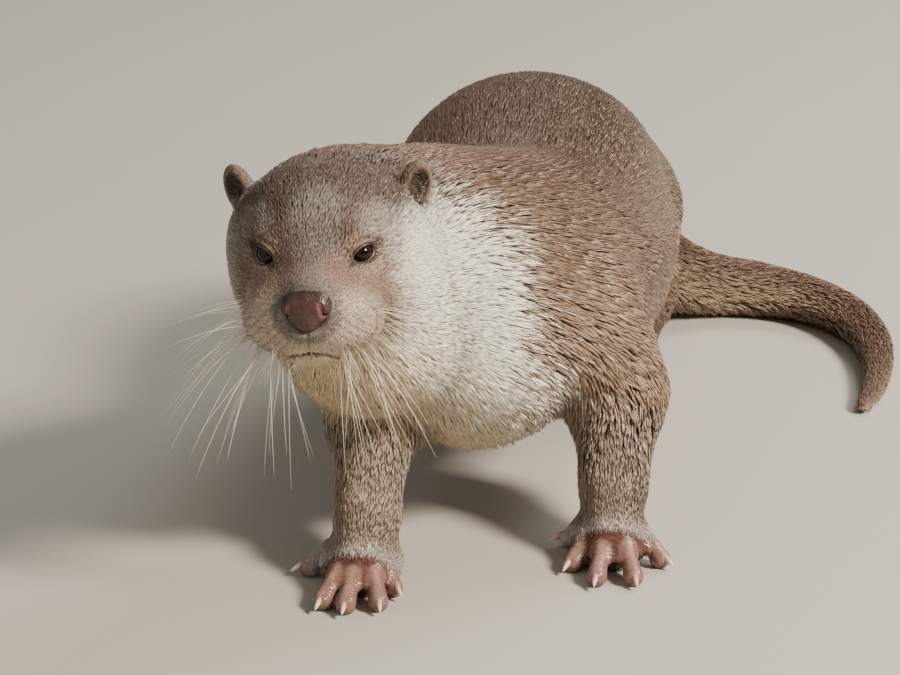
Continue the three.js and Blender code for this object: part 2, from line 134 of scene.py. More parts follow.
def ramp(tree, value, first, last, *between):
    """A colour ramp through stops, each a place and a colour."""
    made = node(tree, "ShaderNodeValToRGB", Fac=value)
    stops = made.color_ramp.elements
    for stop, (place, code) in zip((stops[0], stops[1]), (first, last)):
        stop.position = place
        stop.color = (*srgb(code), 1)
    for place, code in between:
        stops.new(place).color = (*srgb(code), 1)
    return made.outputs["Color"]


def attribute(tree, name, output="Color"):
    return node(tree, "ShaderNodeAttribute", {"attribute_name": name}).outputs[output]


def on_piece(tree):
    return node(tree, "ShaderNodeTexCoord").outputs["Object"]


def noise(tree, size, detail):
    """Noise on the piece, in blots of about this many millimetres."""
    return node(tree, "ShaderNodeTexNoise", {"Scale": 1 / (size * MM), "Detail": detail},
                Vector=on_piece(tree)).outputs["Fac"]


def shaded(tree, colour, grain, dark, light, low=0.0, high=1.0):
    """A colour made darker where the grain is low, and lighter where it is high."""
    tone = node(tree, "ShaderNodeMapRange",
                {"From Min": low, "From Max": high, "To Min": dark, "To Max": light}, Value=grain)
    return node(tree, "ShaderNodeVectorMath", {"operation": "SCALE"},
                Vector=colour, Scale=tone.outputs["Result"]).outputs["Vector"]


def relief(tree, height, strength, depth, **settings):
    """The bumps that a height makes, this many millimetres deep."""
    return node(tree, "ShaderNodeBump", {"Strength": strength, "Distance": depth * MM, **settings},
                Height=height).outputs["Normal"]


CAMERA_AT = np.array([218.4, -1604.0, 667.1])
CAMERA_PITCH = math.radians(18)
CAMERA_YAW = math.radians(8)
camera_data = bpy.data.cameras.new("camera")
camera_data.lens = 139.4
camera_data.sensor_width = 36
camera = bpy.data.objects.new("camera", camera_data)
camera.location = placed(CAMERA_AT)
camera.rotation_euler = (math.pi / 2 - CAMERA_PITCH, 0, CAMERA_YAW)
bpy.context.collection.objects.link(camera)
bpy.context.scene.camera = camera

paper, paper_tree, paper_shader = new_material("matt studio floor", Roughness=0.85)
paper_fleck = node(paper_tree, "ShaderNodeTexNoise", {"Scale": 14.0, "Detail": 4.0})
feed(paper_shader, Base_Color=ramp(paper_tree, paper_fleck.outputs["Fac"], (0, "#aeaaa3"), (1, "#b7b3ad")))

FLOOR_HALF = 9.0
SWEEP_AT = 5.0
SWEEP_BEND = 1.5
SWEEP_RISE = 5.0
SWEEP_STEPS = 16
sweep_profile = [(-FLOOR_HALF, 0.0), (SWEEP_AT, 0.0)]
sweep_profile += [(SWEEP_AT + SWEEP_BEND * math.sin(a), SWEEP_BEND * (1 - math.cos(a)))
                  for a in np.linspace(0, math.pi / 2, SWEEP_STEPS)[1:]]
sweep_profile += [(SWEEP_AT + SWEEP_BEND, SWEEP_RISE)]
sweep_points = [(x, y, z) for y, z in sweep_profile for x in (-FLOOR_HALF, FLOOR_HALF)]
sweep_faces = [(2 * i, 2 * i + 1, 2 * i + 3, 2 * i + 2) for i in range(len(sweep_profile) - 1)]
sweep_mesh = bpy.data.meshes.new("floor")
sweep_mesh.from_pydata(sweep_points, [], sweep_faces)
sweep_mesh.shade_smooth()
sweep_mesh.materials.append(paper)
sweep = bpy.data.objects.new("floor", sweep_mesh)
bpy.context.collection.objects.link(sweep)

LAMPS_AIM_AT = Vector((-0.04, -0.1, 0.11))
for lamp_name, lamp_at, lamp_size, lamp_watts, lamp_colour in (
    ("key", (2.05, -0.95, 1.85), 0.6, 190, "#fff3e0"),
    ("fill", (-1.9, -1.6, 1.1), 2.2, 9, "#f2eee8"),
    ("rim", (0.9, 1.5, 1.6), 0.9, 34, "#fffaf2"),
):
    lamp_data = bpy.data.lights.new(lamp_name, "AREA")
    lamp_data.size = lamp_size
    lamp_data.energy = lamp_watts
    lamp_data.color = srgb(lamp_colour)
    lamp = bpy.data.objects.new(lamp_name, lamp_data)
    lamp.location = lamp_at
    lamp.rotation_euler = (LAMPS_AIM_AT - Vector(lamp_at)).to_track_quat("-Z", "Y").to_euler()
    bpy.context.collection.objects.link(lamp)

world = bpy.data.worlds.new("studio")
world.use_nodes = True
sky = world.node_tree.nodes["Background"]
sky.inputs["Color"].default_value = (*srgb("#ebe7e0"), 1)
sky.inputs["Strength"].default_value = 0.36
bpy.context.scene.world = world

# ---------------------------------------------------------------------------------------------------------
# The body under the coat. One smooth distance field holds the whole animal: a tube round the spine, masses
# for skull, throat and brisket, and tapers for the limbs and toes. The skin is drawn in from the tips of the
# coat by the coat's depth, which runs from 1 mm on the muzzle and feet to 5 mm on the trunk.
SPINE = np.array([
    # centre of the body, half width, half height, depth of the coat
    (-74, 42, 176, 46, 36, 3.5),  # poll
    (-63, 80, 164, 56, 49, 4.5),  # nape
    (-34, 118, 147, 70, 60, 5),  # base of the neck
    (-5, 158, 128, 81, 68, 5),  # withers
    (0, 205, 120, 87, 68, 5),  # ribs
    (-2, 260, 124, 87, 70, 5),  # loin
    (-5, 315, 127, 81, 71, 5),  # top of the arch
    (-6, 368, 116, 74, 67, 5),  # hips
    (5, 418, 95, 63, 56, 5),  # rump
    (27, 456, 64, 43, 39, 4.5),  # root of the tail
    (52, 484, 37, 31, 28, 4),
    (84, 502, 21, 25, 21, 3.5),  # the tail comes to the floor
    (118, 506, 17, 21.5, 17.5, 3.2),
    (150, 496, 14.5, 19, 15, 3),
    (175, 472, 12.5, 16.5, 13, 2.7),
    (190, 438, 10.5, 13.5, 11, 2.4),
    (196, 400, 8.8, 10.8, 9.2, 2),
    (196, 360, 7, 8, 7.3, 1.6),
    (190, 322, 4.6, 4.8, 4.8, 1.2),  # tip of the tail
], float)
SPINE_SPLITS = 6
FORELIMBS = {  # shoulder, elbow, wrist, palm
    1: np.array([(48, 122, 112), (64, 126, 74), (66, 90, 33), (67, 67, 15)], float),
    -1: np.array([(-50, 104, 106), (-61, 98, 68), (-55, 38, 31), (-56, 15, 15)], float),
}
FORELIMB_RADII = np.array([36, 25, 17, 12.5])
FORELIMB_COAT = np.array([5, 3.5, 1.5, 0.8])
HINDLIMBS = {  # hip, knee, hock, instep
    1: np.array([(37, 376, 100), (46, 326, 70), (50, 402, 32), (50, 346, 18)], float),
    -1: np.array([(-44, 370, 100), (-58, 320, 70), (-60, 394, 32), (-62, 338, 18)], float),
}
HINDLIMB_RADII = np.array([44, 32, 17, 15])
HINDLIMB_COAT = np.array([5, 4.5, 1.8, 1])
FEET = [  # side, hind, point below the wrist or hock, angle and reach of each toe from the inner one out
    (1, False, (66, 90), (-84, -25, -3, 17, 48), (29, 46, 60, 59, 42)),
    (-1, False, (-55, 38), (-31, -15, 2, 15, 72), (42, 58, 62, 60, 36)),
    (1, True, (50, 402), (-13, -7, -1, 6, 13), (94, 107, 116, 115, 103)),
    (-1, True, (-60, 394), (-11, -5, 1, 8, 16), (94, 107, 116, 115, 103)),
]
FORE_FOOT = {"ahead": 16, "up": 11.5, "palm": (22, 25, 12.5), "tip": 20, "share": 0.55, "knuckle": 13,
             "toe": 5.8, "web": 0.6}
HIND_FOOT = {"ahead": 50, "up": 11, "palm": (22, 34, 12.5), "tip": 8, "share": 0.62, "knuckle": 12,
             "toe": 6.2, "web": 0.8}
MIDRIFF = 200  # the forelimbs lie before it, the hindlimbs behind
FAR = 1e3


def length(vectors):
    return np.sqrt((vectors * vectors).sum(-1))


def ellipsoid(points, centre, radii):
    offset = points - np.asarray(centre, float)
    near = length(offset / radii)
    return near * (near - 1) / (length(offset / np.square(radii)) + 1e-9)


def turned(points, first, second, angle):
    """Points turned by an angle in the plane of two of their axes."""
    turn_cos, turn_sin = math.cos(angle), math.sin(angle)
    made = points.copy()
    made[:, first] = points[:, first] * turn_cos + points[:, second] * turn_sin
    made[:, second] = points[:, second] * turn_cos - points[:, first] * turn_sin
    return made


def taper(points, a, b, radius_a, radius_b):
    a, b = np.asarray(a, float), np.asarray(b, float)
    axis = b - a
    t = np.clip((points - a) @ axis / (axis @ axis), 0, 1)
    return length(points - a - t[:, None] * axis) - (radius_a + (radius_b - radius_a) * t)


def blend(a, b, k):
    """The union of two distances with a fillet of about k between them."""
    h = np.maximum(k - np.abs(a - b), 0) / k
    return np.minimum(a, b) - h * h * k / 4


def cut(a, b, k):
    """What is left of a after b is taken away, with an edge rounded by about k."""
    return -blend(-a, b, k)


def within(points, centre, reach, field):
    """The field where it can matter, and far away everywhere else."""
    near = length(points - np.asarray(centre, float)) < reach
    distance = np.full(len(points), FAR)
    if near.any():
        distance[near] = field(points[near])
    return distance


def smooth_curve(stations, splits):
    """Catmull-Rom through rows of numbers, with the ends carried straight on."""
    padded = np.vstack([2 * stations[0] - stations[1], stations, 2 * stations[-1] - stations[-2]])
    t = (np.arange(splits) / splits)[:, None]
    rows = []
    for p0, p1, p2, p3 in zip(padded, padded[1:], padded[2:], padded[3:]):
        turn = 2 * p0 - 5 * p1 + 4 * p2 - p3
        rows.append(0.5 * (2 * p1 + (p2 - p0) * t + turn * t**2 + (3 * p1 - p0 - 3 * p2 + p3) * t**3))
    return np.vstack(rows + [stations[-1:]])


RINGS = smooth_curve(SPINE, SPINE_SPLITS)
RING_AT = RINGS[:, :3]
RING_ALONG = np.gradient(RING_AT, axis=0)
RING_ALONG /= length(RING_ALONG)[:, None]
RING_SIDE = np.cross(RING_ALONG, (0, 0, 1))
RING_SIDE /= length(RING_SIDE)[:, None]
RING_UP = np.cross(RING_SIDE, RING_ALONG)
CELL = 24.0  # points in one cell share a short list of near rings


def on_spine(points):
    """For each point: the nearest stretch between two rings, and how far along it."""
    cells, which = np.unique(np.floor(points / CELL).astype(int), axis=0, return_inverse=True)
    which = which.ravel()
    order = np.argsort(which, kind="stable")
    starts = np.searchsorted(which[order], np.arange(len(cells) + 1))
    stretch, share = np.zeros(len(points), int), np.zeros(len(points))
    axes = np.diff(RING_AT, axis=0)
    for i, cell in enumerate(cells):
        rows = order[starts[i]:starts[i + 1]]
        reach = length(RING_AT[:-1] + axes / 2 - (cell + 0.5) * CELL)
        close = np.nonzero(reach < reach.min() + 2.1 * CELL)[0]
        offset = points[rows][:, None] - RING_AT[close]
        t = np.clip((offset * axes[close]).sum(-1) / (axes[close] ** 2).sum(-1), 0, 1)
        away = ((offset - t[..., None] * axes[close]) ** 2).sum(-1)
        best = away.argmin(1)
        stretch[rows], share[rows] = close[best], t[np.arange(len(rows)), best]
    return stretch, share


def mix_rings(table, i, t):
    """What a table of rings holds a share t of the way from ring i to the next."""
    return table[i] * (1 - t[:, None]) + table[i + 1] * t[:, None]


def spine_field(points, bare):
    i, t = on_spine(points)
    mixed = [mix_rings(table, i, t) for table in (RINGS, RING_SIDE, RING_UP, RING_ALONG)]
    offset = points - mixed[0][:, :3]
    local = np.stack([(offset * axis).sum(-1) for axis in mixed[1:]], -1)
    radii = mixed[0][:, (3, 4, 3)] - bare * mixed[0][:, 5:6]
    return ellipsoid(local, (0, 0, 0), radii)


def head_field(points, bare):
    """The masses of the head: centre, half sizes, depth of the coat, fillet. Paired ones are given once."""
    here = in_head(points)
    half = to_left(here)
    d = ellipsoid(here, (-47, 0, -3), np.array([54, 45, 27]) - 2.4 * bare)  # braincase
    d = blend(d, ellipsoid(half, (-26, 25, -22), np.array([34, 23, 25]) - 3 * bare), 16)  # cheeks
    d = blend(d, taper(here, (-8, 0, -16), (26, 0, -19), 26 - 1.5 * bare, 20 - 0.9 * bare), 15)  # muzzle
    d = blend(d, ellipsoid(half, (23, 14.5, -23), np.array([17, 20, 17]) - 1.1 * bare), 12)  # whisker pads
    d = blend(d, ellipsoid(half, (9, 19.5, -22), np.array([22, 14, 17]) - 1.3 * bare), 10)  # cheek to pad
    d = blend(d, taper(here, (-6, 0, -2), (31, 0, -10.5), 12 - 1.4 * bare, 9.5 - bare), 8)  # bridge
    d = blend(d, ellipsoid(half, (-10, 20, 7), np.array([11, 9, 6]) - 1.2 * bare), 7)  # brows
    return blend(d, ellipsoid(here, (15, 0, -38), np.array([22, 18, 11.5]) - 1.4 * bare), 9)  # chin


def way_of(foot, toe):
    side, _, _, angles, _ = foot
    angle = math.radians(angles[toe])
    return np.array([math.sin(angle) * side, -math.cos(angle), 0])


def toe_line(foot, toe):
    """A toe's knuckle, its middle joint and the middle of its pad."""
    shape = HIND_FOOT if foot[1] else FORE_FOOT
    way, start = way_of(foot, toe), np.array([*foot[2], 0.0])
    knuckle, pad = foot[4][toe] * shape["share"], foot[4][toe] - shape["toe"]
    heights = (shape["knuckle"], shape["knuckle"] * 0.78, shape["toe"] * 0.8)
    return [start + way * far + (0, 0, up) for far, up in zip((knuckle, (knuckle + pad) / 2, pad), heights)]


def toe_root(foot, toe):
    """Where the bone of a toe leaves the root of the foot."""
    shape = HIND_FOOT if foot[1] else FORE_FOOT
    return np.array([*foot[2], 0.0]) + way_of(foot, toe) * shape["ahead"] * 0.75 + (0, 0, shape["up"] + 7)


def foot_field(points, foot, bare):
    """Palm, toes with round pads, the webs between them, and on bare skin the ridges of the foot's bones."""
    shape = HIND_FOOT if foot[1] else FORE_FOOT
    start = np.array([*foot[2], 0.0])
    palm = start + (0, -shape["ahead"], shape["up"])
    tipped = turned(points - palm, 1, 2, math.radians(shape["tip"]))
    d = ellipsoid(tipped, (0, 0, 0), np.array(shape["palm"]) - 1.4 * bare)
    for toe in range(5):
        line = toe_line(foot, toe)
        thick = shape["toe"] * (0.88 if toe == 0 else 1) - 0.5 * bare
        d = blend(d, taper(points, toe_root(foot, toe), line[0], thick * 0.9, thick * 0.9), 3.5)
        slim = 0.86 - 0.1 * bare
        finger = np.minimum(taper(points, line[0], line[1], thick * 0.94, thick * slim),
                            taper(points, line[1], line[2], thick * slim, thick))
        d = blend(d, finger, 2.5)
    for toe in range(4):
        lines = [toe_line(foot, toe), toe_line(foot, toe + 1)]
        for across in (0.25, 0.5, 0.75):
            back, middle, pad = (a * (1 - across) + b * across for a, b in zip(*lines))
            sag = 1 - 0.5 * math.sin(math.pi * across)  # the edge of the web curves back between the toes
            front = middle + (pad - middle) * (shape["web"] - 0.45) * sag
            web = np.minimum(taper(points, back, middle, 3, 1.7), taper(points, middle, front, 1.7, 1.2))
            d = blend(d, web, 3.5)
    return d


def body_field(points, bare):
    """Distance to the tips of the coat where bare is 0, and to the skin where it is 1."""
    points = np.asarray(points, float)
    d = spine_field(points, bare)
    d = blend(d, within(points, (-75, 20, 170), 150, lambda p: head_field(p, bare)), 24)
    d = blend(d, ellipsoid(points, (-12, 112, 98), np.array([58, 54, 52]) - 5 * bare), 26)  # brisket
    d = blend(d, ellipsoid(points, (-57, 56, 129), np.array([52, 46, 52]) - 5 * bare), 26)  # throat
    for limbs, radii, coat, fillet in (
        (FORELIMBS, FORELIMB_RADII, FORELIMB_COAT, 20), (HINDLIMBS, HINDLIMB_RADII, HINDLIMB_COAT, 22)):
        thick = radii - bare * coat
        for joints in limbs.values():
            for i, k in enumerate((fillet, 14, 8)):
                middle = (joints[i] + joints[i + 1]) / 2
                d = blend(d, within(points, middle, 110, lambda p: taper(
                    p, joints[i], joints[i + 1], thick[i], thick[i + 1])), k)
    for foot in FEET:
        middle = np.array([*foot[2], 12.0]) - (0, 58 if foot[1] else 30, 0)
        d = blend(d, within(points, middle, 90 if foot[1] else 62, lambda p: foot_field(p, foot, bare)), 6)
    return d


def slope(field, points, step=0.4):
    """The field and its gradient, from four points round each."""
    corners = np.array([(1, -1, -1), (-1, -1, 1), (-1, 1, -1), (1, 1, 1)]) * step
    values = [field(points + corner) for corner in corners]
    gradient = sum(value[:, None] * corner for value, corner in zip(values, corners)) / (4 * step * step)
    return sum(values) / 4, gradient


def settle(field, points, rounds, most):
    """Moves points along the gradient until they lie on the surface of the field."""
    for _ in range(rounds):
        value, gradient = slope(field, points)
        move = value / np.maximum((gradient * gradient).sum(-1), 0.1)
        points = points - gradient * np.clip(move, -most, most)[:, None]
    return points


def net_over(field, low, high, step, coarse=4):
    """A quad mesh where the field is 0: one point in each crossed cell, looked for coarsely first."""
    size = np.ceil((np.asarray(high) - low) / (step * coarse)).astype(int)
    blocks = np.stack(np.meshgrid(*[np.arange(n) for n in size], indexing="ij"), -1).reshape(-1, 3)
    wide = step * coarse
    near = np.abs(field(low + (blocks + 0.5) * wide)) < wide * 1.1
    values = np.full(size * coarse + 1, FAR)
    inner = np.stack(np.meshgrid(*[np.arange(coarse + 1)] * 3, indexing="ij"), -1).reshape(-1, 3)
    spots = np.unique((blocks[near][:, None] * coarse + inner).reshape(-1, 3), axis=0)
    values[tuple(spots.T)] = field(low + spots * step)
    known = values < FAR
    corners = [(i, j, k) for i in (0, 1) for j in (0, 1) for k in (0, 1)]

    def at(table, corner):
        return table[tuple(slice(c, n - 1 + c) for c, n in zip(corner, table.shape))]

    whole = np.logical_and.reduce([at(known, c) for c in corners])
    count = sum(at(values < 0, c).astype(np.int8) for c in corners)
    cells = np.argwhere(whole & (count > 0) & (count < 8))
    ids = np.full(count.shape, -1)
    ids[tuple(cells.T)] = np.arange(len(cells))
    total, hits = np.zeros((len(cells), 3)), np.zeros(len(cells))
    for corner in corners:
        for axis in range(3):
            if corner[axis]:
                continue
            a = cells + corner
            b = a + np.eye(3, dtype=int)[axis]
            value_a, value_b = values[tuple(a.T)], values[tuple(b.T)]
            crossed = (value_a < 0) != (value_b < 0)
            share = np.where(crossed, value_a / np.where(crossed, value_a - value_b, 1), 0)
            total += np.where(crossed[:, None], a + (b - a) * share[:, None], 0)
            hits += crossed
    quads = []
    for axis in range(3):
        second, third = (axis + 1) % 3, (axis + 2) % 3
        one = [slice(None)] * 3
        two = [slice(None)] * 3
        one[axis], two[axis] = slice(0, -1), slice(1, None)
        one, two = tuple(one), tuple(two)
        crossed = ((values[one] < 0) != (values[two] < 0)) & known[one] & known[two]
        edges = np.argwhere(crossed)
        edges = edges[(edges[:, second] > 0) & (edges[:, third] > 0)]
        ring = []
        for back_second, back_third in ((1, 1), (0, 1), (0, 0), (1, 0)):
            cell = edges.copy()
            cell[:, second] -= back_second
            cell[:, third] -= back_third
            ring.append(ids[tuple(np.minimum(cell, np.array(ids.shape) - 1).T)])
        ring = np.stack(ring, 1)
        outward = values[tuple(edges.T)] < 0
        ring[~outward] = ring[~outward][:, ::-1]
        quads.append(ring[(ring >= 0).all(1)])
    return low + total / hits[:, None] * step, np.vstack(quads)


def mesh_of(name, points, faces, material, attributes=None):
    """A mesh object in the frame, from rows of equally many corners, shaded smooth."""
    mesh = bpy.data.meshes.new(name)
    faces = np.asarray(faces)
    mesh.vertices.add(len(points))
    mesh.vertices.foreach_set("co", placed(points).ravel())
    mesh.loops.add(faces.size)
    mesh.loops.foreach_set("vertex_index", faces.ravel())
    mesh.polygons.add(len(faces))
    mesh.polygons.foreach_set("loop_start", np.arange(len(faces)) * faces.shape[1])
    mesh.update(calc_edges=True)
    mesh.shade_smooth()
    for key, (kind, values) in (attributes or {}).items():
        field = {"FLOAT_COLOR": "color", "FLOAT_VECTOR": "vector"}.get(kind, "value")
        layer = mesh.attributes.new(key, kind, "POINT")
        layer.data.foreach_set(field, np.asarray(values, np.float32).ravel())
    mesh.materials.append(material)
    made = bpy.data.objects.new(name, mesh)
    bpy.context.collection.objects.link(made)
    return made


# The skin adds what the coat hides or leaves bare: lids that fold over the eyes, the line of the mouth, a
# bed for the nose, cupped ears, and the pads and webs of the feet.
LID_OUT = np.array([0.84, 0.44, 0.31]) / math.sqrt(0.84**2 + 0.44**2 + 0.31**2)
LID_TURN = math.radians(24)  # the eye slants down towards the nose
LID_HALF_LENGTH = 6.0
LID_HALF_HEIGHT = 4.1
LID_THICK = 1.1
UPPER_LID = 0.78  # how far the upper lid opens, as a share of the lower
EAR_AT = np.array([-52.0, 44.0, 14.0])
EAR_RADII = np.array([6.0, 9.5, 15.5])
EAR_LEAN = math.radians(14)
EAR_TURN = math.radians(24)
EAR_CUP_AT = (5.6, 0.8, 2.6)
GROUND = 0.15  # the skin stays this far above the floor

lid_along = np.cross((0, 0, 1), LID_OUT)
lid_along /= length(lid_along)
lid_up = np.cross(LID_OUT, lid_along)
LID_AXES = np.stack([
    LID_OUT,
    lid_along * math.cos(LID_TURN) + lid_up * math.sin(LID_TURN),
    lid_up * math.cos(LID_TURN) - lid_along * math.sin(LID_TURN),
])


def lid_opening(along, up):
    """How far outside the gap between the lids, which is flatter above than below."""
    half_height = np.where(up > 0, LID_HALF_HEIGHT * UPPER_LID, LID_HALF_HEIGHT)
    return (np.hypot(along / LID_HALF_LENGTH, up / half_height) - 1) * half_height


def from_lid_fold(opening, up):
    """How far outside the fold that runs round the lids."""
    return opening - 2.2 - 0.12 * up


def mouth_height(across):
    """The line of the mouth, which turns down from the middle to its corners."""
    return -35.0 - 0.03 * np.minimum(np.abs(across), 17) ** 2


def in_ear(half):
    """From the head, mirrored to its left side, into the ear: forward, outward, up."""
    return turned(turned(half - EAR_AT, 1, 2, -EAR_LEAN), 0, 1, EAR_TURN)


def skin_field(points):
    points = np.asarray(points, float)
    d = body_field(points, 1)
    close = length(points - HEAD_AT) < 95
    here = in_head(points[close])
    if len(here):
        half = to_left(here)
        d[close] = face_field(d[close], here, half)
    return np.maximum(d, GROUND - points[:, 2])


def face_field(d, here, half):
    x, y, z = here.T
    ear = in_ear(half)
    shell = ellipsoid(ear, (0, 0, 0), EAR_RADII - 0.9)
    cup = ellipsoid(ear, EAR_CUP_AT, (5.4, 6.2, 9.6))
    shell = cut(shell, cup, 1.6)
    d = blend(d, shell, 3.5)
    d = cut(d, ellipsoid(ear, (4.4, 1.2, -4), (3.2, 3.6, 6)), 2)  # the opening of the ear

    eye = half - EYE_AT
    out, along, up = (eye @ LID_AXES.T).T
    d = blend(d, length(eye) - EYE_RADIUS - LID_THICK, 3)
    opening = lid_opening(along, up)
    d = cut(d, np.maximum(opening, 1.5 - out), 0.9)
    fold = np.where(out > 0, np.exp(-(from_lid_fold(opening, up) / 0.6) ** 2), 0)
    d = d + 0.5 * fold

    d = cut(d, ellipsoid(half, (47, 0, -12), (10, 12.5, 10.5)), 3)  # bed of the nose
    mouth = z - mouth_height(y)
    line = np.exp(-(mouth / 0.75) ** 2) * np.clip((x - 12) / 10, 0, 1)
    d = d + 1.8 * line
    cleft = np.exp(-(y / 0.7) ** 2) * np.clip((-21 - z) / 2, 0, 1) * np.clip((z + 35) / 2, 0, 1) * (x > 25)
    return d + 0.9 * cleft


# ---------------------------------------------------------------------------------------------------------
# Markings. Dark brown back and limbs, a greyer crown and muzzle, tan round the eyes, speckled whisker pads,
# and a cream bib from the cheeks and chin to the chest. Skin and coat take their colours from here.
BACK = np.array(srgb("#685040"))
FLANK = np.array(srgb("#957c68"))
BELLY = np.array(srgb("#a08a70"))
CROWN = np.array(srgb("#5f4f45"))
BRIDGE = np.array(srgb("#857a72"))
EYE_RING = np.array(srgb("#a58d77"))
BROW_SHEEN = np.array(srgb("#a99d92"))
CHEEK = np.array(srgb("#94796a"))
PAD = np.array(srgb("#d0bfab"))
BIB = np.array(srgb("#f6f1e8"))
THROAT = np.array(srgb("#e4d0b0"))
FOREARM = np.array(srgb("#857366"))
PAW_BACK_SHEEN = np.array(srgb("#b8ada5"))
TOE_SKIN = np.array(srgb("#86645a"))
TOE_TOP_HIGHLIGHT = np.array(srgb("#b48c80"))
WEB_SKIN_AND_SHADE = np.array(srgb("#5c3a33"))
EAR_INSIDE = np.array(srgb("#33241e"))
EAR_RIM = np.array(srgb("#6f5749"))
LID_RIM_AND_FOLD_SHADE = np.array(srgb("#2c1e18"))
LIP = np.array(srgb("#5d4238"))
# How far round from the middle of the underside the bib reaches, in degrees, by station along the spine.
BIB_STATIONS = [0, 0.6, 1.2, 1.6, 1.9, 2.0, 2.1, 2.3, 2.6, 2.85, 3.2, 4, 8]
BIB_ANGLES = [112, 118, 117, 112, 102, 84, 69, 61, 54, 42, 30, 24, 22]


def rise(low, high, value):
    t = np.clip((value - low) / (high - low), 0, 1)
    return t * t * (3 - 2 * t)


def ripple(points, wave):
    """Smooth uneven waves between about -1 and 1, some wave millimetres long."""
    k = 2 * math.pi / wave
    x, y, z = (points * k).T
    return (np.sin(x + 1.7 * np.sin(0.7 * y + 1)) + np.sin(0.9 * y + 1.3 * np.sin(0.8 * z + 2) + 4)
            + np.sin(1.1 * z + 1.9 * np.sin(0.6 * x + 3) + 2)) / 3


def round_spine(points):
    """Station along the spine and the angle from the middle of the underside, in degrees."""
    i, t = on_spine(points)
    mixed = [mix_rings(table, i, t) for table in (RING_AT, RING_SIDE, RING_UP)]
    offset = points - mixed[0]
    side, up = ((offset * axis).sum(-1) for axis in mixed[1:])
    return (i + t) / SPINE_SPLITS, np.degrees(np.arctan2(side, -up))


def limb_share(points, limbs, radii):
    """How much a point belongs to a free limb rather than to the trunk, and to which height of it."""
    d = np.minimum.reduce([taper(points, joints[i], joints[i + 1], radii[i], radii[i + 1])
                           for joints in limbs.values() for i in (0, 1, 2)])
    return rise(26, 4, d) * rise(104, 72, points[:, 2])


def leg_share(points):
    return np.maximum(limb_share(points, FORELIMBS, FORELIMB_RADII),
                      limb_share(points, HINDLIMBS, HINDLIMB_RADII))


def foot_share(points):
    """1 on the toes and webs, falling to 0 at the wrist or hock."""
    share = np.zeros(len(points))
    for foot in FEET:
        start = np.array([*foot[2], 0.0])
        ahead = -(points - start)[:, 1]
        beside = length((points - start)[:, :2])
        reach = max(foot[4])
        over = rise(0.28, 0.62, beside / reach) * (beside < reach + 14) * (points[:, 2] < 34)
        front = rise(5, 30, ahead) if foot[1] else rise(-40, 0, ahead)
        share = np.maximum(share, over * front * rise(34, 20, points[:, 2]))
    return share


def toe_bones(points):
    """How far outside the toes a point on the skin is, and how near the crest along the top of one."""
    bone, ridge = np.full(len(points), FAR), np.zeros(len(points))
    for foot in FEET:
        close = length(points - np.array([*foot[2], 10.0])) < 130
        shape = HIND_FOOT if foot[1] else FORE_FOOT
        for toe in range(5):
            line, spots = toe_line(foot, toe), points[close]
            thick = shape["toe"] * 0.86
            bones = [toe_root(foot, toe), *line]
            d = np.minimum.reduce([taper(spots, a, b, thick, thick) for a, b in zip(bones, line)])
            bone[close] = np.minimum(bone[close], d)
            beside = np.abs((spots - line[0]) @ np.cross((0, 0, 1), way_of(foot, toe)))
            crest = rise(3.4, 0.5, beside) * rise(1.5, 0.5, d) * (spots[:, 2] > 5)
            ridge[close] = np.maximum(ridge[close], crest)
    return bone, ridge


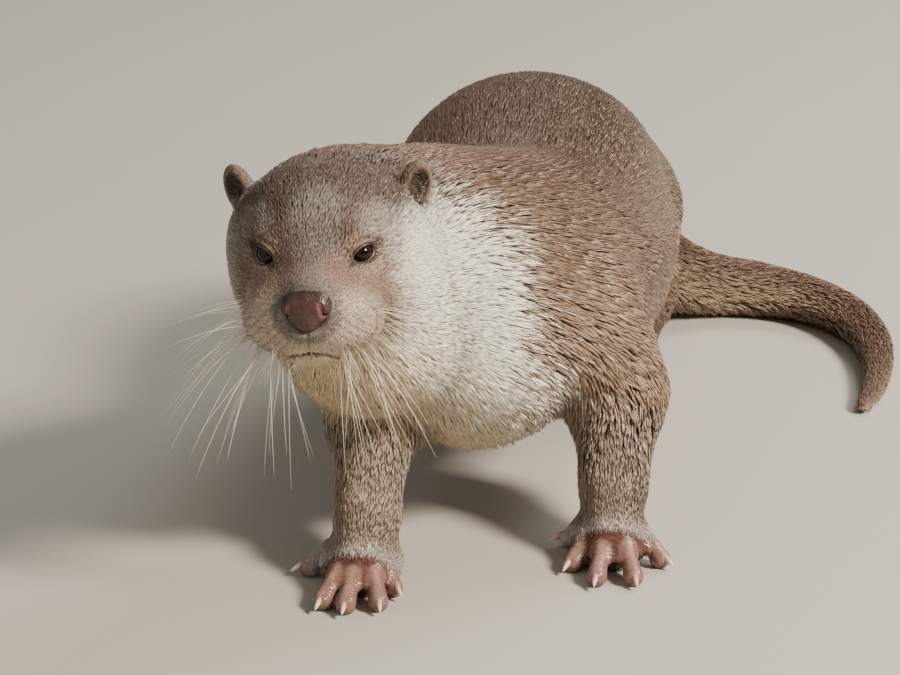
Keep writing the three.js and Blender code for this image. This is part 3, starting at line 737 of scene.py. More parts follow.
def markings(points, stray=0.0):
    """Colour at each point. A stray lock takes the colour from a few degrees or millimetres away."""
    here = in_head(points)
    half = to_left(here)
    x, y, z = half.T
    station, angle = round_spine(points)
    angle = np.abs(angle)
    mottle = ripple(points, 23) * 0.6 + ripple(points, 9) * 0.4

    colour = BACK + (FLANK - BACK) * rise(150, 80, angle + 14 * mottle)[:, None]
    colour = colour * (1 + 0.08 * mottle)[:, None]

    def lay(over, share):
        nonlocal colour
        colour = colour + (over - colour) * np.clip(share, 0, 1)[:, None]

    head = rise(-92, -62, x)
    lay(CROWN, head * rise(-12, 6, z) * 0.85)
    behind = rise(4.0, 9.0, station)
    lay(BELLY, rise(36, 14, angle + 8 * mottle) * rise(2.2, 3.2, station) * (1 - 0.4 * behind))
    bib_edge = np.interp(station, BIB_STATIONS, BIB_ANGLES)
    bib = rise(-16, 13, bib_edge - angle + 7 * mottle + 1.8 * stray) * rise(3.6, 2.7, station + 0.02 * stray)
    cream = BIB + (THROAT - BIB) * rise(62, 22, angle + 10 * mottle)[:, None]
    # Painted shade: the right cheek, on the side away from the key light, is made browner and its cream
    # narrower.
    right_cheek_shade = rise(0, -12, here[:, 1])  # the right cheek is browner
    face_side = y - 37 - 4 * right_cheek_shade - 0.45 * np.maximum(z - 4, 0) + 2 * mottle + 0.8 * stray
    face_side = (1 - 0.45 * right_cheek_shade) * rise(-9, 10, face_side) * rise(12, -4, x + 0.4 * stray)
    face_side = face_side * rise(17, 4, z + 0.22 * (x + 18) - 0.4 * stray)
    lip = z - mouth_height(here[:, 1])
    upper = rise(-1, 1, lip)
    under = np.where(x > 8, rise(1, -1, lip), rise(-31, -42, z + 0.25 * np.maximum(12 - x, 0) + 2 * mottle))
    front = rise(-46, -30, x)
    lay(cream, bib * (1 - front))
    lay(cream, front * np.maximum(face_side, under))

    lay(BRIDGE, rise(-26, -4, x) * rise(17, 9, y) * rise(-16, -8, z) * 0.9)
    lay(CHEEK, rise(32, 22, length(half - (20, 27, -12))) * rise(33, 29, y) * 0.85)
    lay(PAD, rise(24, 14, length((half - (31, 15, -26)) * (0.9, 0.8, 1))) * 0.85 * upper)
    lay(cream, rise(9, 1, lip) * upper * rise(14, 24, x) * 0.55)
    # Painted wet sheen: the brow between the eye and the ear is lightened to a pale grey.
    lay(BROW_SHEEN, rise(19, 9, length(half - (-9, 31, 9))) * 0.65)
    lay(EYE_RING, rise(13, 7, length(half - (6, 25, 2))) * 0.8)
    lay(CROWN * 0.75, rise(9, 3, length(half - (8, 12, 14))) * 0.35)
    spots = np.sin(1.9 * z + 0.5) * np.sin(1.35 * y - 0.6 * z)
    lay(LIP, rise(0.5, 0.85, spots) * rise(22, 12, length(half - (30, 17, -26))) * 0.8 * upper)
    lay(BRIDGE * 0.55, rise(16.5, 12, length((half - (40, 0, -13)) * (0.6, 0.85, 1))) * 0.8 * upper)

    leg = leg_share(points)
    fore = points[:, 1] < MIDRIFF
    lay(FOREARM, leg * fore * rise(96, 62, points[:, 2]) * (0.85 + 0.15 * mottle))
    lay(BACK, leg * ~fore * 0.8)
    foot = foot_share(points)
    # Painted wet sheen: the backs of the forepaws, and the hind feet more weakly, are lightened to a silvery
    # grey.
    lay(PAW_BACK_SHEEN, rise(0, 0.4, foot) * rise(58, 30, points[:, 2]) * np.where(fore, 1, 0.35))
    lay(TOE_SKIN, rise(0.55, 0.95, foot))
    bone, ridge = toe_bones(points)
    # Painted highlight: the crest along the top of each toe is lightened.
    lay(TOE_TOP_HIGHLIGHT, rise(0.6, 0.95, foot) * ridge * (0.55 + 0.45 * mottle))
    # Reddish web skin, darkened further as painted shade between the toes.
    lay(WEB_SKIN_AND_SHADE, rise(0.5, 0.9, foot) * rise(0.2, 1.8, bone))

    eye = half - EYE_AT
    out, along, up = (eye @ LID_AXES.T).T
    opening = lid_opening(along, up)
    lay(LID_RIM_AND_FOLD_SHADE, rise(2.3, 0.8, opening) * (out > 1) * rise(12, 9, length(eye)))
    corner = np.hypot((along + 0.8) / 11.5, (up + 0.2 * np.abs(along) - 1.2) / 2.4)
    lay(LID_RIM_AND_FOLD_SHADE, rise(1.35, 0.75, corner) * (out > 0) * rise(17, 13, length(eye)) * 0.8)
    # Painted shade: a dark band along the fold above the upper lid; the dark rim and corner lines above are
    # the lids' own colour.
    fold = rise(0.9, 0.2, np.abs(from_lid_fold(opening, up))) * (up > 0) * (out > 2)
    lay(LID_RIM_AND_FOLD_SHADE, fold * rise(13, 10, length(eye)) * 0.6)
    lay(LIP * 0.5, rise(1.3, 0.4, np.abs(lip)) * rise(12, 20, x) * 0.85)
    ear = in_ear(half)
    inside = ellipsoid(ear, EAR_CUP_AT, (5.6, 6.4, 9.8))
    on_ear = rise(3, 0, ellipsoid(ear, (0, 0, 0), EAR_RADII))
    lay(EAR_RIM, on_ear * 0.85)
    lay(EAR_INSIDE, on_ear * rise(0.6, -0.6, inside))
    return np.clip(colour, 0.004, 0.92)


def finer(points, quads, zones, field):
    """The mesh with its faces halved in each zone in turn, and the new points settled on the field."""
    built = bmesh.new()
    corners = [built.verts.new(point) for point in points]
    for quad in quads:
        built.faces.new([corners[i] for i in quad])
    for zone in zones:
        built.verts.ensure_lookup_table()
        inside = zone(np.array([vert.co for vert in built.verts]))
        built.verts.index_update()
        edges = [edge for edge in built.edges if inside[edge.verts[0].index] and inside[edge.verts[1].index]]
        bmesh.ops.subdivide_edges(built, edges=edges, cuts=1, use_grid_fill=True)
        spots = np.array([vert.co for vert in built.verts])
        moved = zone(spots)
        spots[moved] = settle(field, spots[moved], 2, 0.8)
        for vert, spot in zip(built.verts, spots):
            vert.co = spot
    bmesh.ops.triangulate(built, faces=built.faces[:])
    built.verts.index_update()
    spots = np.array([vert.co for vert in built.verts])
    triangles = np.array([[vert.index for vert in face.verts] for face in built.faces])
    built.free()
    return spots, triangles


FOOT_TOP = 30


def face_or_foot(points):
    here = in_head(points)
    foot = (points[:, 2] < FOOT_TOP) & (foot_share(points) > 0.02)
    return (here[:, 0] > -66) & (length(here + (20, 0, 15)) < 78) | foot


def fine_face(points):
    here = in_head(points)
    half = to_left(here)
    return ((length(half - EYE_AT) < 14) | (half[:, 0] > 24) | (length(half - EAR_AT) < 19)
            | ((np.abs(half[:, 2] + 37) < 5) & (half[:, 0] > 8)))


SKIN_LOW = np.array([-150.0, -62, -8])
SKIN_HIGH = np.array([222.0, 540, 232])
SKIN_STEP = 2.2
skin_points, skin_quads = net_over(skin_field, SKIN_LOW, SKIN_HIGH, SKIN_STEP)
skin_points = settle(skin_field, skin_points, 3, 1.5)
skin_points, skin_triangles = finer(skin_points, skin_quads, (face_or_foot, fine_face), skin_field)

# Skin: dense short underfur over thin hide, so it is matt and a little darker than the coat, with a fine nap
# bump; on the toes and webs it is bare, damp and pinkish brown, and creased across.
skin, skin_tree, skin_shader = new_material("damp hide", Specular_IOR_Level=0.5)
WRINKLE = 2.1  # millimetres between the creases across the toes
HAIR_GAP = 0.8  # millimetres between the hairs of the nap, drawn coarser than the real 0.1 so that it shows
UNDERFUR = 0.92  # how bright the skin is beside the coat
skin_nap = noise(skin_tree, 2 * HAIR_GAP, 3.0)
skin_colour = shaded(skin_tree, attribute(skin_tree, "marking"), skin_nap, 0.72, 1.12, 0.3, 0.75)
skin_colour = shaded(skin_tree, skin_colour, noise(skin_tree, 9, 3.0), 0.9, 1.08, 0.3, 0.7)
skin_wet = attribute(skin_tree, "bare", "Fac")
skin_gloss = node(skin_tree, "ShaderNodeMapRange", {"To Min": 0.6, "To Max": 0.27}, Value=skin_wet)
skin_crease = node(skin_tree, "ShaderNodeTexWave",
                   {"Scale": 0.314 / (WRINKLE * MM), "Distortion": 3.0, "Detail": 2.0, "Detail Scale": 2.0,
                    "bands_direction": "Y"}, Vector=on_piece(skin_tree))
skin_height = node(skin_tree, "ShaderNodeMix", _0=skin_wet, _2=skin_nap, _3=skin_crease.outputs["Fac"])
feed(skin_shader, Base_Color=skin_colour, Roughness=skin_gloss.outputs["Result"],
     Normal=relief(skin_tree, skin_height.outputs["Result"], 0.5, 0.5))

ones = np.ones((len(skin_points), 1))
skin_bare = rise(0.5, 0.8, foot_share(skin_points)) * (skin_points[:, 2] < FOOT_TOP)
skin_piece = mesh_of("otter_skin", skin_points, skin_triangles, skin,
                     {"marking": ("FLOAT_COLOR", np.hstack([markings(skin_points) * UNDERFUR, ones])),
                      "bare": ("FLOAT", skin_bare)})
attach(skin_piece, "root")
FLESH = ["head", "jaw", "neck", "chest", "loin", "rump", "tail_base", "tail_middle", "tail_tip"]
FLESH += [f"{side}_{part}" for side in ("left", "right")
          for part in ("ear", "upper_arm", "forearm", "forepaw", "thigh", "shank", "hindpaw")]
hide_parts(*FLESH)

# ---------------------------------------------------------------------------------------------------------
# The coat. Damp guard hairs cling together in thin pointed locks that lie back along the body, one over
# another like tiles. They are about 3 mm long on the muzzle, 8 on the crown and 12 to 16 on neck and trunk.
LOCK_SEED = 7
LOCK_STATIONS = [0, 1, 2, 3, 6, 9, 12, 18]
LOCK_LENGTHS = [12, 15, 16.5, 15, 13.5, 13, 10, 6]
HEAD_FORWARD = [-80, -50, -30, -10, 10, 25, 45]
HEAD_LENGTHS = [11, 8, 6.5, 5, 3.6, 2.6, 2]
LEG_HEIGHTS = [0, 12, 24, 45, 80, 110]
LEG_LENGTHS = [1.8, 2.6, 4.5, 8.5, 12, 14]
LOCK_RINGS = np.array([0.0, 0.42, 0.78, 1.0])  # shares of the length
LOCK_LIFT = np.array([-0.12, 0.5, 0.8, 0.92])  # shares of the coat's depth
LOCK_WIDTHS = np.array([0.5, 1.0, 0.62, 0.0])
LOCK_RIDGE = 0.34  # height of the middle of a lock, in widths
SAG = 0.55  # how much the hair on the flanks turns down
TAIL_FROM = 9.6  # station along the spine
PATCH = 0.003

draw = np.random.default_rng(LOCK_SEED)


def lie(points, normals):
    """Which way the hair points: back from the nose, along the body and sagging, down the limbs."""
    i, t = on_spine(points)
    along = mix_rings(RING_ALONG, i, t)
    station, angle = round_spine(points)
    steep = rise(150, 70, np.abs(angle)) * rise(9.5, 7, station)
    way = along + np.array([0, 0, -SAG]) * steep[:, None]
    total = way / length(way)[:, None]

    here = in_head(points)
    from_nose = here - (46, 0, -8)
    head_way = (from_nose / length(from_nose)[:, None]) @ HEAD_AXES
    head = rise(-95, -45, here[:, 0])[:, None]
    total = total * (1 - head) + head_way * head

    for limbs, radii in ((FORELIMBS, FORELIMB_RADII), (HINDLIMBS, HINDLIMB_RADII)):
        for joints in limbs.values():
            for i in (0, 1, 2):
                d = taper(points, joints[i], joints[i + 1], radii[i], radii[i + 1])
                axis = joints[i + 1] - joints[i]
                top = (118, 84) if i == 0 else (100, 70)
                near = (rise(10, -4, d) * rise(*top, points[:, 2]))[:, None]
                total = total * (1 - near) + axis / length(axis) * near
    foot = foot_share(points)[:, None]
    total = total * (1 - foot) + np.array([0, -1.0, -0.15]) * foot
    calm = 1 - 0.4 * sleekness(points)
    stir = 9 * ripple(points, 31) + 9 * ripple(points + 40, 12) + draw.normal(0, 7, len(points))
    turn = np.radians(calm * stir)
    total = total - normals * (total * normals).sum(-1)[:, None]
    total /= length(total)[:, None] + 1e-6
    across = np.cross(normals, total)
    return total * np.cos(turn)[:, None] + across * np.sin(turn)[:, None]


def lock_length(points):
    here = in_head(points)
    station, _ = round_spine(points)
    body = np.interp(station, LOCK_STATIONS, LOCK_LENGTHS)
    head = np.interp(here[:, 0], HEAD_FORWARD, HEAD_LENGTHS)
    low = rise(-18, -40, here[:, 2] + 0.2 * here[:, 0]) * rise(24, 6, here[:, 0])
    head = head + (11 - head) * low * 0.7
    share = rise(-86, -60, here[:, 0])
    long = body * (1 - share) + head * share
    half = to_left(here)
    ear = rise(26, 13, length(half - EAR_AT + (0, 0, 3)))
    long = long + (2.6 - long) * ear
    leg = leg_share(points)
    return long * (1 - leg) + np.interp(points[:, 2], LEG_HEIGHTS, LEG_LENGTHS) * leg


def sleekness(points):
    """1 where the coat lies flattest and finest, on the head, back and tail, and 0 on the bib and belly."""
    station, angle = round_spine(points)
    back = rise(55, 115, np.abs(angle)) * rise(0.6, 2.6, station)
    return np.maximum(back, 0.75 * rise(-80, -45, in_head(points)[:, 0]))


ON_LEG = 0.35  # the share of a leg from which its coat is told apart


def region_of(points):
    """The part of the coat that a root belongs to."""
    here = in_head(points)
    station, angle = round_spine(points)
    names = np.select(
        [here[:, 0] > 2, here[:, 0] > -32, here[:, 0] > -66, station > TAIL_FROM, station > 7, station > 4.8,
         (station > 2.4) & (np.abs(angle) > 88), station > 2.4],
        ["face", "brow", "crown", "tail", "rump", "loin", "withers", "chest"], "neck").astype("U16")
    left = points[:, 0] > 0
    fore = (limb_share(points, FORELIMBS, FORELIMB_RADII) > ON_LEG) & (points[:, 1] < MIDRIFF)
    hind = (limb_share(points, HINDLIMBS, HINDLIMB_RADII) > ON_LEG) & (points[:, 1] > MIDRIFF)
    for leg, on_leg in (("foreleg", fore), ("hindleg", hind & (station <= TAIL_FROM))):
        names[on_leg & left] = "left_" + leg
        names[on_leg & ~left] = "right_" + leg
    return names


corners = skin_points[skin_triangles]
sides = np.cross(corners[:, 1] - corners[:, 0], corners[:, 2] - corners[:, 0])
areas = length(sides) / 2
middles = corners.mean(1)
triangle_long = lock_length(middles)
LOCK_SPACING = [(0, 0.5), (3, 0.62), (5, 0.9), (8, 1.5), (12, 2.6), (18, 3.7)]  # length: area per lock
spacing = 1.04 * np.interp(triangle_long, *zip(*LOCK_SPACING))
spacing = spacing * (1 - 0.13 * sleekness(middles))
# sparser on the crown and the legs than the length alone would make it
spacing = spacing * np.where(in_head(middles)[:, 0] > -70, 1.15, 1)
spacing = spacing * (1 + 0.3 * (limb_share(middles, FORELIMBS, FORELIMB_RADII) > ON_LEG))
spacing = spacing * np.where((middles[:, 1] > MIDRIFF) & (middles[:, 2] < 70), 1.65, 1)
bare = foot_share(middles) > 0.6 + 0.32 * draw.random(len(middles))
bare |= middles[:, 2] < 2.5
middle_head = in_head(middles)
middle_half = to_left(middle_head)
middle_eye = (middle_half - EYE_AT) @ LID_AXES.T
bare |= (length(middle_half - EYE_AT) < 11) & (np.hypot(middle_eye[:, 1] / 7.6, middle_eye[:, 2] / 5.2) < 1)
bare |= ellipsoid(middle_head, (44, 0, -12), (10.5, 12.5, 10.8)) < 0
bare |= ellipsoid(in_ear(middle_half), EAR_CUP_AT, (5.6, 6.6, 10)) < -0.3
expected = np.where(bare, 0, areas / spacing)
count = np.floor(expected + draw.random(len(expected))).astype(int)
owner = np.repeat(np.arange(len(count)), count)
shares = draw.random((len(owner), 2))
flip = shares.sum(1) > 1
shares[flip] = 1 - shares[flip]
a, b, c = corners[owner].transpose(1, 0, 2)
roots = a + (b - a) * shares[:, :1] + (c - a) * shares[:, 1:]
_, smooth = slope(skin_field, roots, 1.2)
normals = smooth / (length(smooth)[:, None] + 1e-9)

long = lock_length(roots) * draw.uniform(0.78, 1.22, len(roots))
sleek = sleekness(roots)
wide = (1 - 0.22 * sleek) * (0.24 + 0.09 * long) * draw.uniform(0.75, 1.25, len(roots))
on_head = rise(-80, -55, in_head(roots)[:, 0])
depth = np.clip(-body_field(roots, 0), 0.9, 10) * (1 - 0.35 * on_head) * (1 - 0.4 * sleek)
uneven = 1 + 0.16 * ripple(roots, 7) + draw.normal(0, 0.1, len(roots))
way = lie(roots, normals)
path = [roots + normals * (LOCK_LIFT[0] * depth)[:, None]]
spot = roots
for step, lift in zip(np.diff(LOCK_RINGS), LOCK_LIFT[1:]):
    spot = spot + way * (long * step)[:, None]
    value, gradient = slope(skin_field, spot, 1.0)
    out = gradient / (length(gradient)[:, None] + 1e-9)
    spot = spot - out * np.clip(value, -4, 6)[:, None]
    path.append(spot + out * (lift * depth * uneven)[:, None])
    way = way - out * (way * out).sum(-1)[:, None]
    way /= length(way)[:, None] + 1e-9
path = np.stack(path, 1)

# Damp hair clings: the tips of the locks in one clump are drawn together.
CLUMP = 7  # locks
gathers = np.nonzero(draw.random(len(roots)) < 1 / CLUMP)[0]
near_gather = KDTree(len(gathers))
for i, gather in enumerate(gathers):
    near_gather.insert(roots[gather], i)
near_gather.balance()
clump = np.array([near_gather.find(root)[1] for root in roots])
members = np.maximum(np.bincount(clump, minlength=len(gathers)), 1)[:, None]
cling = (1 - 0.45 * sleek)[:, None]
for ring, pull in ((1, 0.12), (2, 0.34), (3, 0.62)):
    centre = np.stack([np.bincount(clump, path[:, ring, k], len(gathers)) for k in range(3)], 1) / members
    toward = centre[clump] - path[:, ring]
    path[:, ring] += toward * pull * cling * (length(toward) < long)[:, None]
path[:, 3, 2] -= 0.22 * long * rise(0.1, -0.7, normals[:, 2])  # the tips hang from the underside
path[..., 2] = np.maximum(path[..., 2], 0.4)

up = np.repeat(normals[:, None], 4, 1)
along = np.gradient(path, axis=1)
across = np.cross(along, up)
across /= length(across)[..., None] + 1e-9
ridge = np.cross(across, along)
ridge /= length(ridge)[..., None] + 1e-9
half_width = (wide[:, None] * LOCK_WIDTHS / 2)[..., None]
left = path - across * half_width
right = path + across * half_width
top = path + ridge * half_width * 2 * LOCK_RIDGE
round_lock = np.stack([left, right, top], 2)[:, :3].reshape(len(roots), 9, 3)
lock_points = np.concatenate([round_lock, path[:, 3:]], 1)
lock_points[..., 2] = np.maximum(lock_points[..., 2], 0.3)
LOCK_FACES = [(0, 2, 1)]
for ring in (0, 3):
    for k in range(3):
        n = (k + 1) % 3
        LOCK_FACES += [(ring + k, ring + n, ring + 3 + n), (ring + k, ring + 3 + n, ring + 3 + k)]
LOCK_FACES += [(6 + k, 6 + (k + 1) % 3, 9) for k in range(3)]
LOCK_FACES = np.array(LOCK_FACES)[:, ::-1]
LOCK_U = np.array([0, 1, 0.5] * 3 + [0.5])
LOCK_V = np.array([0, 0, 0, 0.42, 0.42, 0.42, 0.78, 0.78, 0.78, 1])
# A short or sleek lock does without its third ring: which corners it keeps, and its faces.
SHORT_BELOW = 9
SHORT_KEEPS = np.array([0, 1, 2, 3, 4, 5, 9])
SHORT_FACES = np.vstack([LOCK_FACES[:7], [(4, 3, 6), (5, 4, 6), (3, 5, 6)]])

root_paint = markings(roots, draw.normal(0, 6, len(roots)))
variety = draw.normal(0, 0.11, (len(roots), 1)) + 0.10 * ripple(roots, 5)[:, None]
variety = variety * (1 - 0.4 * sleek[:, None])
# Along each lock: darker at the root, as painted shade under the locks that lie over it, and paler at the
# tip.
LOCK_ROOT_SHADE_AND_TIPS = np.array([0.62, 0.62, 0.66, 0.86, 0.86, 0.98, 1.0, 1.0, 1.1, 1.25])
root_shade_and_tips = 1 + (LOCK_ROOT_SHADE_AND_TIPS - 1) * (1 - 0.45 * sleek[:, None])
lock_paint = root_paint[:, None] * (1 + variety[:, None]) * root_shade_and_tips[..., None]
lock_paint = np.clip(lock_paint, 0.003, 0.95)

# Guard hair: smooth damp keratin, so each lock has a soft gleam along it and fine streaks between its hairs.
coat, coat_tree, coat_shader = new_material("damp guard hair", Roughness=0.36, Specular_IOR_Level=0.6,
                                            IOR=1.55)
STREAK = 0.35  # millimetres across a streak, some three hairs wide
coat_streak = node(coat_tree, "ShaderNodeTexNoise", {"Scale": 1.0, "Detail": 2.0},
                   Vector=attribute(coat_tree, "strand", "Vector")).outputs["Fac"]
feed(coat_shader, Normal=relief(coat_tree, coat_streak, 0.35, 0.3),
     Base_Color=shaded(coat_tree, attribute(coat_tree, "marking"), coat_streak, 0.78, 1.2, 0.3, 0.7))

station, angle = round_spine(roots)
head_place = in_head(roots)
round_head = np.degrees(np.arctan2(head_place[:, 1], head_place[:, 2] + 18))
regions = region_of(roots)
for region in np.unique(regions):
    mine = np.nonzero(regions == region)[0]
    if region in ("face", "brow", "crown"):
        chart = np.stack([round_head[mine], head_place[mine, 0]], 1)
    elif region.endswith("leg"):
        # a leg is unrolled round its own upright axis
        axes = np.array([joints[1:, :2].mean(0)
                         for limbs in (FORELIMBS, HINDLIMBS) for joints in limbs.values()])
        near = np.argmin(length(roots[mine][:, None, :2] - axes), 1)
        offset = roots[mine][:, :2] - axes[near]
        chart = np.stack([np.degrees(np.arctan2(*offset.T)), roots[mine][:, 2]], 1)
    else:
        chart = np.stack([angle[mine], station[mine]], 1)
    chart = (chart - chart.min(0)) / (chart.max(0) - chart.min(0)) * (1 - 2 * PATCH) + PATCH
    points, faces, paint, strand, flat = [], [], [], [], []
    for short, keeps, shape in ((False, np.arange(10), LOCK_FACES), (True, SHORT_KEEPS, SHORT_FACES)):
        some = ((long[mine] < SHORT_BELOW) | (sleek[mine] > 0.5)) == short
        locks = mine[some]
        corner = shape + len(keeps) * np.arange(len(locks))[:, None, None]
        faces.append(corner.reshape(-1, 3) + sum(len(block) for block in points))
        points.append(lock_points[locks][:, keeps].reshape(-1, 3))
        paint.append(lock_paint[locks][:, keeps].reshape(-1, 3))
        strand.append(np.stack([
            LOCK_U[keeps] * wide[locks, None] / STREAK + locks[:, None] % 997,
            LOCK_V[keeps] * long[locks, None] / 9,
            np.repeat(locks[:, None] % 89, len(keeps), 1)], -1).reshape(-1, 3))
        spread = np.stack([LOCK_U[keeps] - 0.5, LOCK_V[keeps] - 0.5], 1) * PATCH
        flat.append((chart[some][:, None] + spread).reshape(-1, 2))
    faces = np.vstack(faces)
    paint = np.vstack(paint)
    lock_piece = mesh_of(f"coat_{region}", np.vstack(points), faces, coat, {
        "marking": ("FLOAT_COLOR", np.hstack([paint, np.ones((len(paint), 1))])),
        "strand": ("FLOAT_VECTOR", np.vstack(strand))})
    patches = np.vstack(flat)[faces.ravel()].astype(np.float32)
    lock_piece.data.uv_layers.new(name="OFBake").data.foreach_set("uv", patches.ravel())
    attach(lock_piece, "root")

# ---------------------------------------------------------------------------------------------------------
# The eyes: small dark balls that fill their lids. A wet clear cornea over a brown iris and a round pupil, and
# a thin pale lid margin that holds the tears against the ball.
PUPIL = 0.3  # radians off the axis of the eye
IRIS = 0.8
EYE_RINGS = np.concatenate([np.linspace(0.04, 0.8, 16), np.linspace(0.95, math.pi - 0.06, 14)])
EYE_SIDES = 40
MARGIN_RADIUS = 0.38
MARGIN_STEPS = 36
MARGIN_SIDES = 8
CORNEA_BULGE = 0.3

cornea, cornea_tree, cornea_shader = new_material("wet cornea", Roughness=0.05, IOR=1.376)
eye_colour = ramp(cornea_tree, attribute(cornea_tree, "off_axis", "Fac"), (0, "#070504"), (1, "#33241c"),
                  (PUPIL - 0.02, "#070504"), (PUPIL + 0.02, "#1d120c"), (IRIS - 0.16, "#26170f"),
                  (IRIS, "#140c09"), (IRIS + 0.15, "#261a15"))
feed(cornea_shader, Base_Color=shaded(cornea_tree, eye_colour, noise(cornea_tree, 0.7, 2.0), 0.7, 1.3))

margin, margin_tree, margin_shader = new_material("moist lid margin", Roughness=0.22, Specular_IOR_Level=0.6)
margin_fleck = node(margin_tree, "ShaderNodeTexNoise", {"Scale": 1 / (1.2 * MM), "Detail": 2.0})
feed(margin_shader, Base_Color=ramp(margin_tree, margin_fleck.outputs["Fac"], (0, "#4c3a34"), (1, "#7d6a62")))


def rings_to_mesh(rings):
    """Quads as triangles between rings of equally many points, with a middle point at each end."""
    count, sides = rings.shape[:2]
    points = np.vstack([rings.reshape(-1, 3), rings[0].mean(0), rings[-1].mean(0)])
    faces = []
    for k in range(sides):
        n = (k + 1) % sides
        faces.append((k, n, count * sides))
        faces.append(((count - 1) * sides + n, (count - 1) * sides + k, count * sides + 1))
        for i in range(count - 1):
            a, b = i * sides, (i + 1) * sides
            faces += [(a + n, a + k, b + k), (a + n, b + k, b + n)]
    return points, np.array(faces)


for side, side_name in ((1, "left"), (-1, "right")):
    mirror = np.array([1, side, 1])
    out, along, up = LID_AXES * mirror
    turns = np.linspace(0, 2 * math.pi, EYE_SIDES, endpoint=False) * side
    rims = [along * math.cos(turn) + up * math.sin(turn) for turn in turns]
    bulge = [EYE_RADIUS + CORNEA_BULGE * math.exp(-(angle_off / 0.5) ** 2) for angle_off in EYE_RINGS]
    ball = np.array([[EYE_AT * mirror + (out * math.cos(t) + rim * math.sin(t)) * r for rim in rims]
                     for t, r in zip(EYE_RINGS, bulge)])
    eye_points, eye_faces = rings_to_mesh(ball)
    off_axis = np.concatenate([np.repeat(EYE_RINGS, EYE_SIDES), [0, math.pi]])
    eye_piece = mesh_of(f"{side_name}_eyeball", from_head(eye_points), eye_faces, cornea,
                        {"off_axis": ("FLOAT", off_axis)})
    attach(eye_piece, "root")
    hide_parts(f"{side_name}_eye")

    loop = []
    for turn in np.linspace(0, 2 * math.pi, MARGIN_STEPS, endpoint=False):
        across, rise_up = LID_HALF_LENGTH * math.cos(turn), LID_HALF_HEIGHT * math.sin(turn)
        rise_up *= UPPER_LID if rise_up > 0 else 1
        forward = math.sqrt((EYE_RADIUS + 0.55) ** 2 - across**2 - rise_up**2)
        loop.append(EYE_AT * mirror + out * forward + along * across + up * rise_up)
    loop = np.array(loop)
    tangents = np.roll(loop, -1, 0) - np.roll(loop, 1, 0)
    tangents /= length(tangents)[:, None]
    outward = loop - EYE_AT * mirror
    outward /= length(outward)[:, None]
    sideways = np.cross(tangents, outward)
    tube = np.array([[p + (o * math.cos(t) + s * math.sin(t)) * MARGIN_RADIUS
                      for t in np.linspace(0, 2 * math.pi, MARGIN_SIDES, endpoint=False)]
                     for p, o, s in zip(loop, outward, sideways)])
    corner = np.arange(MARGIN_STEPS * MARGIN_SIDES).reshape(MARGIN_STEPS, MARGIN_SIDES)
    beside, ahead = np.roll(corner, -1, 1), np.roll(corner, -1, 0)
    tube_faces = np.stack([corner, beside, np.roll(beside, -1, 0), ahead], -1).reshape(-1, 4)[:, ::side]
    margin_piece = mesh_of(f"{side_name}_lid_margin", from_head(tube.reshape(-1, 3)), tube_faces, margin)
    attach(margin_piece, "root")

# ---------------------------------------------------------------------------------------------------------
# The nose: a bare leathery pad, reddish brown and damp, wide above and narrow where it meets the lip, with
# comma-shaped nostrils that open to the sides and show pink inside.
NOSE_STEP = 0.6
NOSE_MIDDLE = np.array([39.0, 0, -12])
NOSE_REACH = 17.0
NOSE_BROWN = np.array(srgb("#432a26"))
NOSE_DARK = np.array(srgb("#2c1f1d"))
NOSTRIL_PINK = np.array(srgb("#7d4540"))


def nose_field(points):
    here = in_head(points)
    half = to_left(here)
    x, y, z = half.T
    d = ellipsoid(half, (38.5, 0, -10.8), (7.8, 9.5, 8.8))
    d = blend(d, ellipsoid(half, (38, 7.2, -10.2), (7, 5.2, 6.6)), 4)
    d = blend(d, ellipsoid(half, (38.6, 0, -18), (7, 5.4, 4.8)), 6)
    return cut(d, nostril(half), 1) + 0.6 * np.exp(-(y / 0.6) ** 2) * np.clip((-14 - z) / 3, 0, 1)


def nostril(half):
    """A tall slit near the edge of the pad that turns outward and back at its foot."""
    slit = np.minimum(taper(half, (45.2, 7.3, -6.6), (44.6, 8.8, -13.2), 1.1, 1.5),
                      taper(half, (42.2, 7.3, -7.4), (41.6, 8.8, -12.6), 0.9, 1.2))
    return np.minimum(slit, taper(half, (44, 9.2, -13.4), (38.5, 13.8, -15.2), 1.2, 0.8))


nose_middle = from_head(NOSE_MIDDLE)
nose_points, nose_quads = net_over(nose_field, nose_middle - NOSE_REACH, nose_middle + NOSE_REACH, NOSE_STEP)
nose_points = settle(nose_field, nose_points, 3, 0.5)
nose_here = in_head(nose_points)
nose_half = to_left(nose_here)
inside = rise(0.6, -0.3, nostril(nose_half))
edge = rise(7, 11, length((nose_half - (44, 0, -12)) * (0.5, 0.75, 1)))
nose_paint = NOSE_BROWN + (NOSE_DARK - NOSE_BROWN) * edge[:, None]
nose_paint = nose_paint + (NOSTRIL_PINK - nose_paint) * (inside * 0.8)[:, None]
# Painted shade: the pink deep in each nostril is darkened.
nose_paint *= (1 - 0.7 * rise(44, 41.5, nose_half[:, 0]) * inside)[:, None]

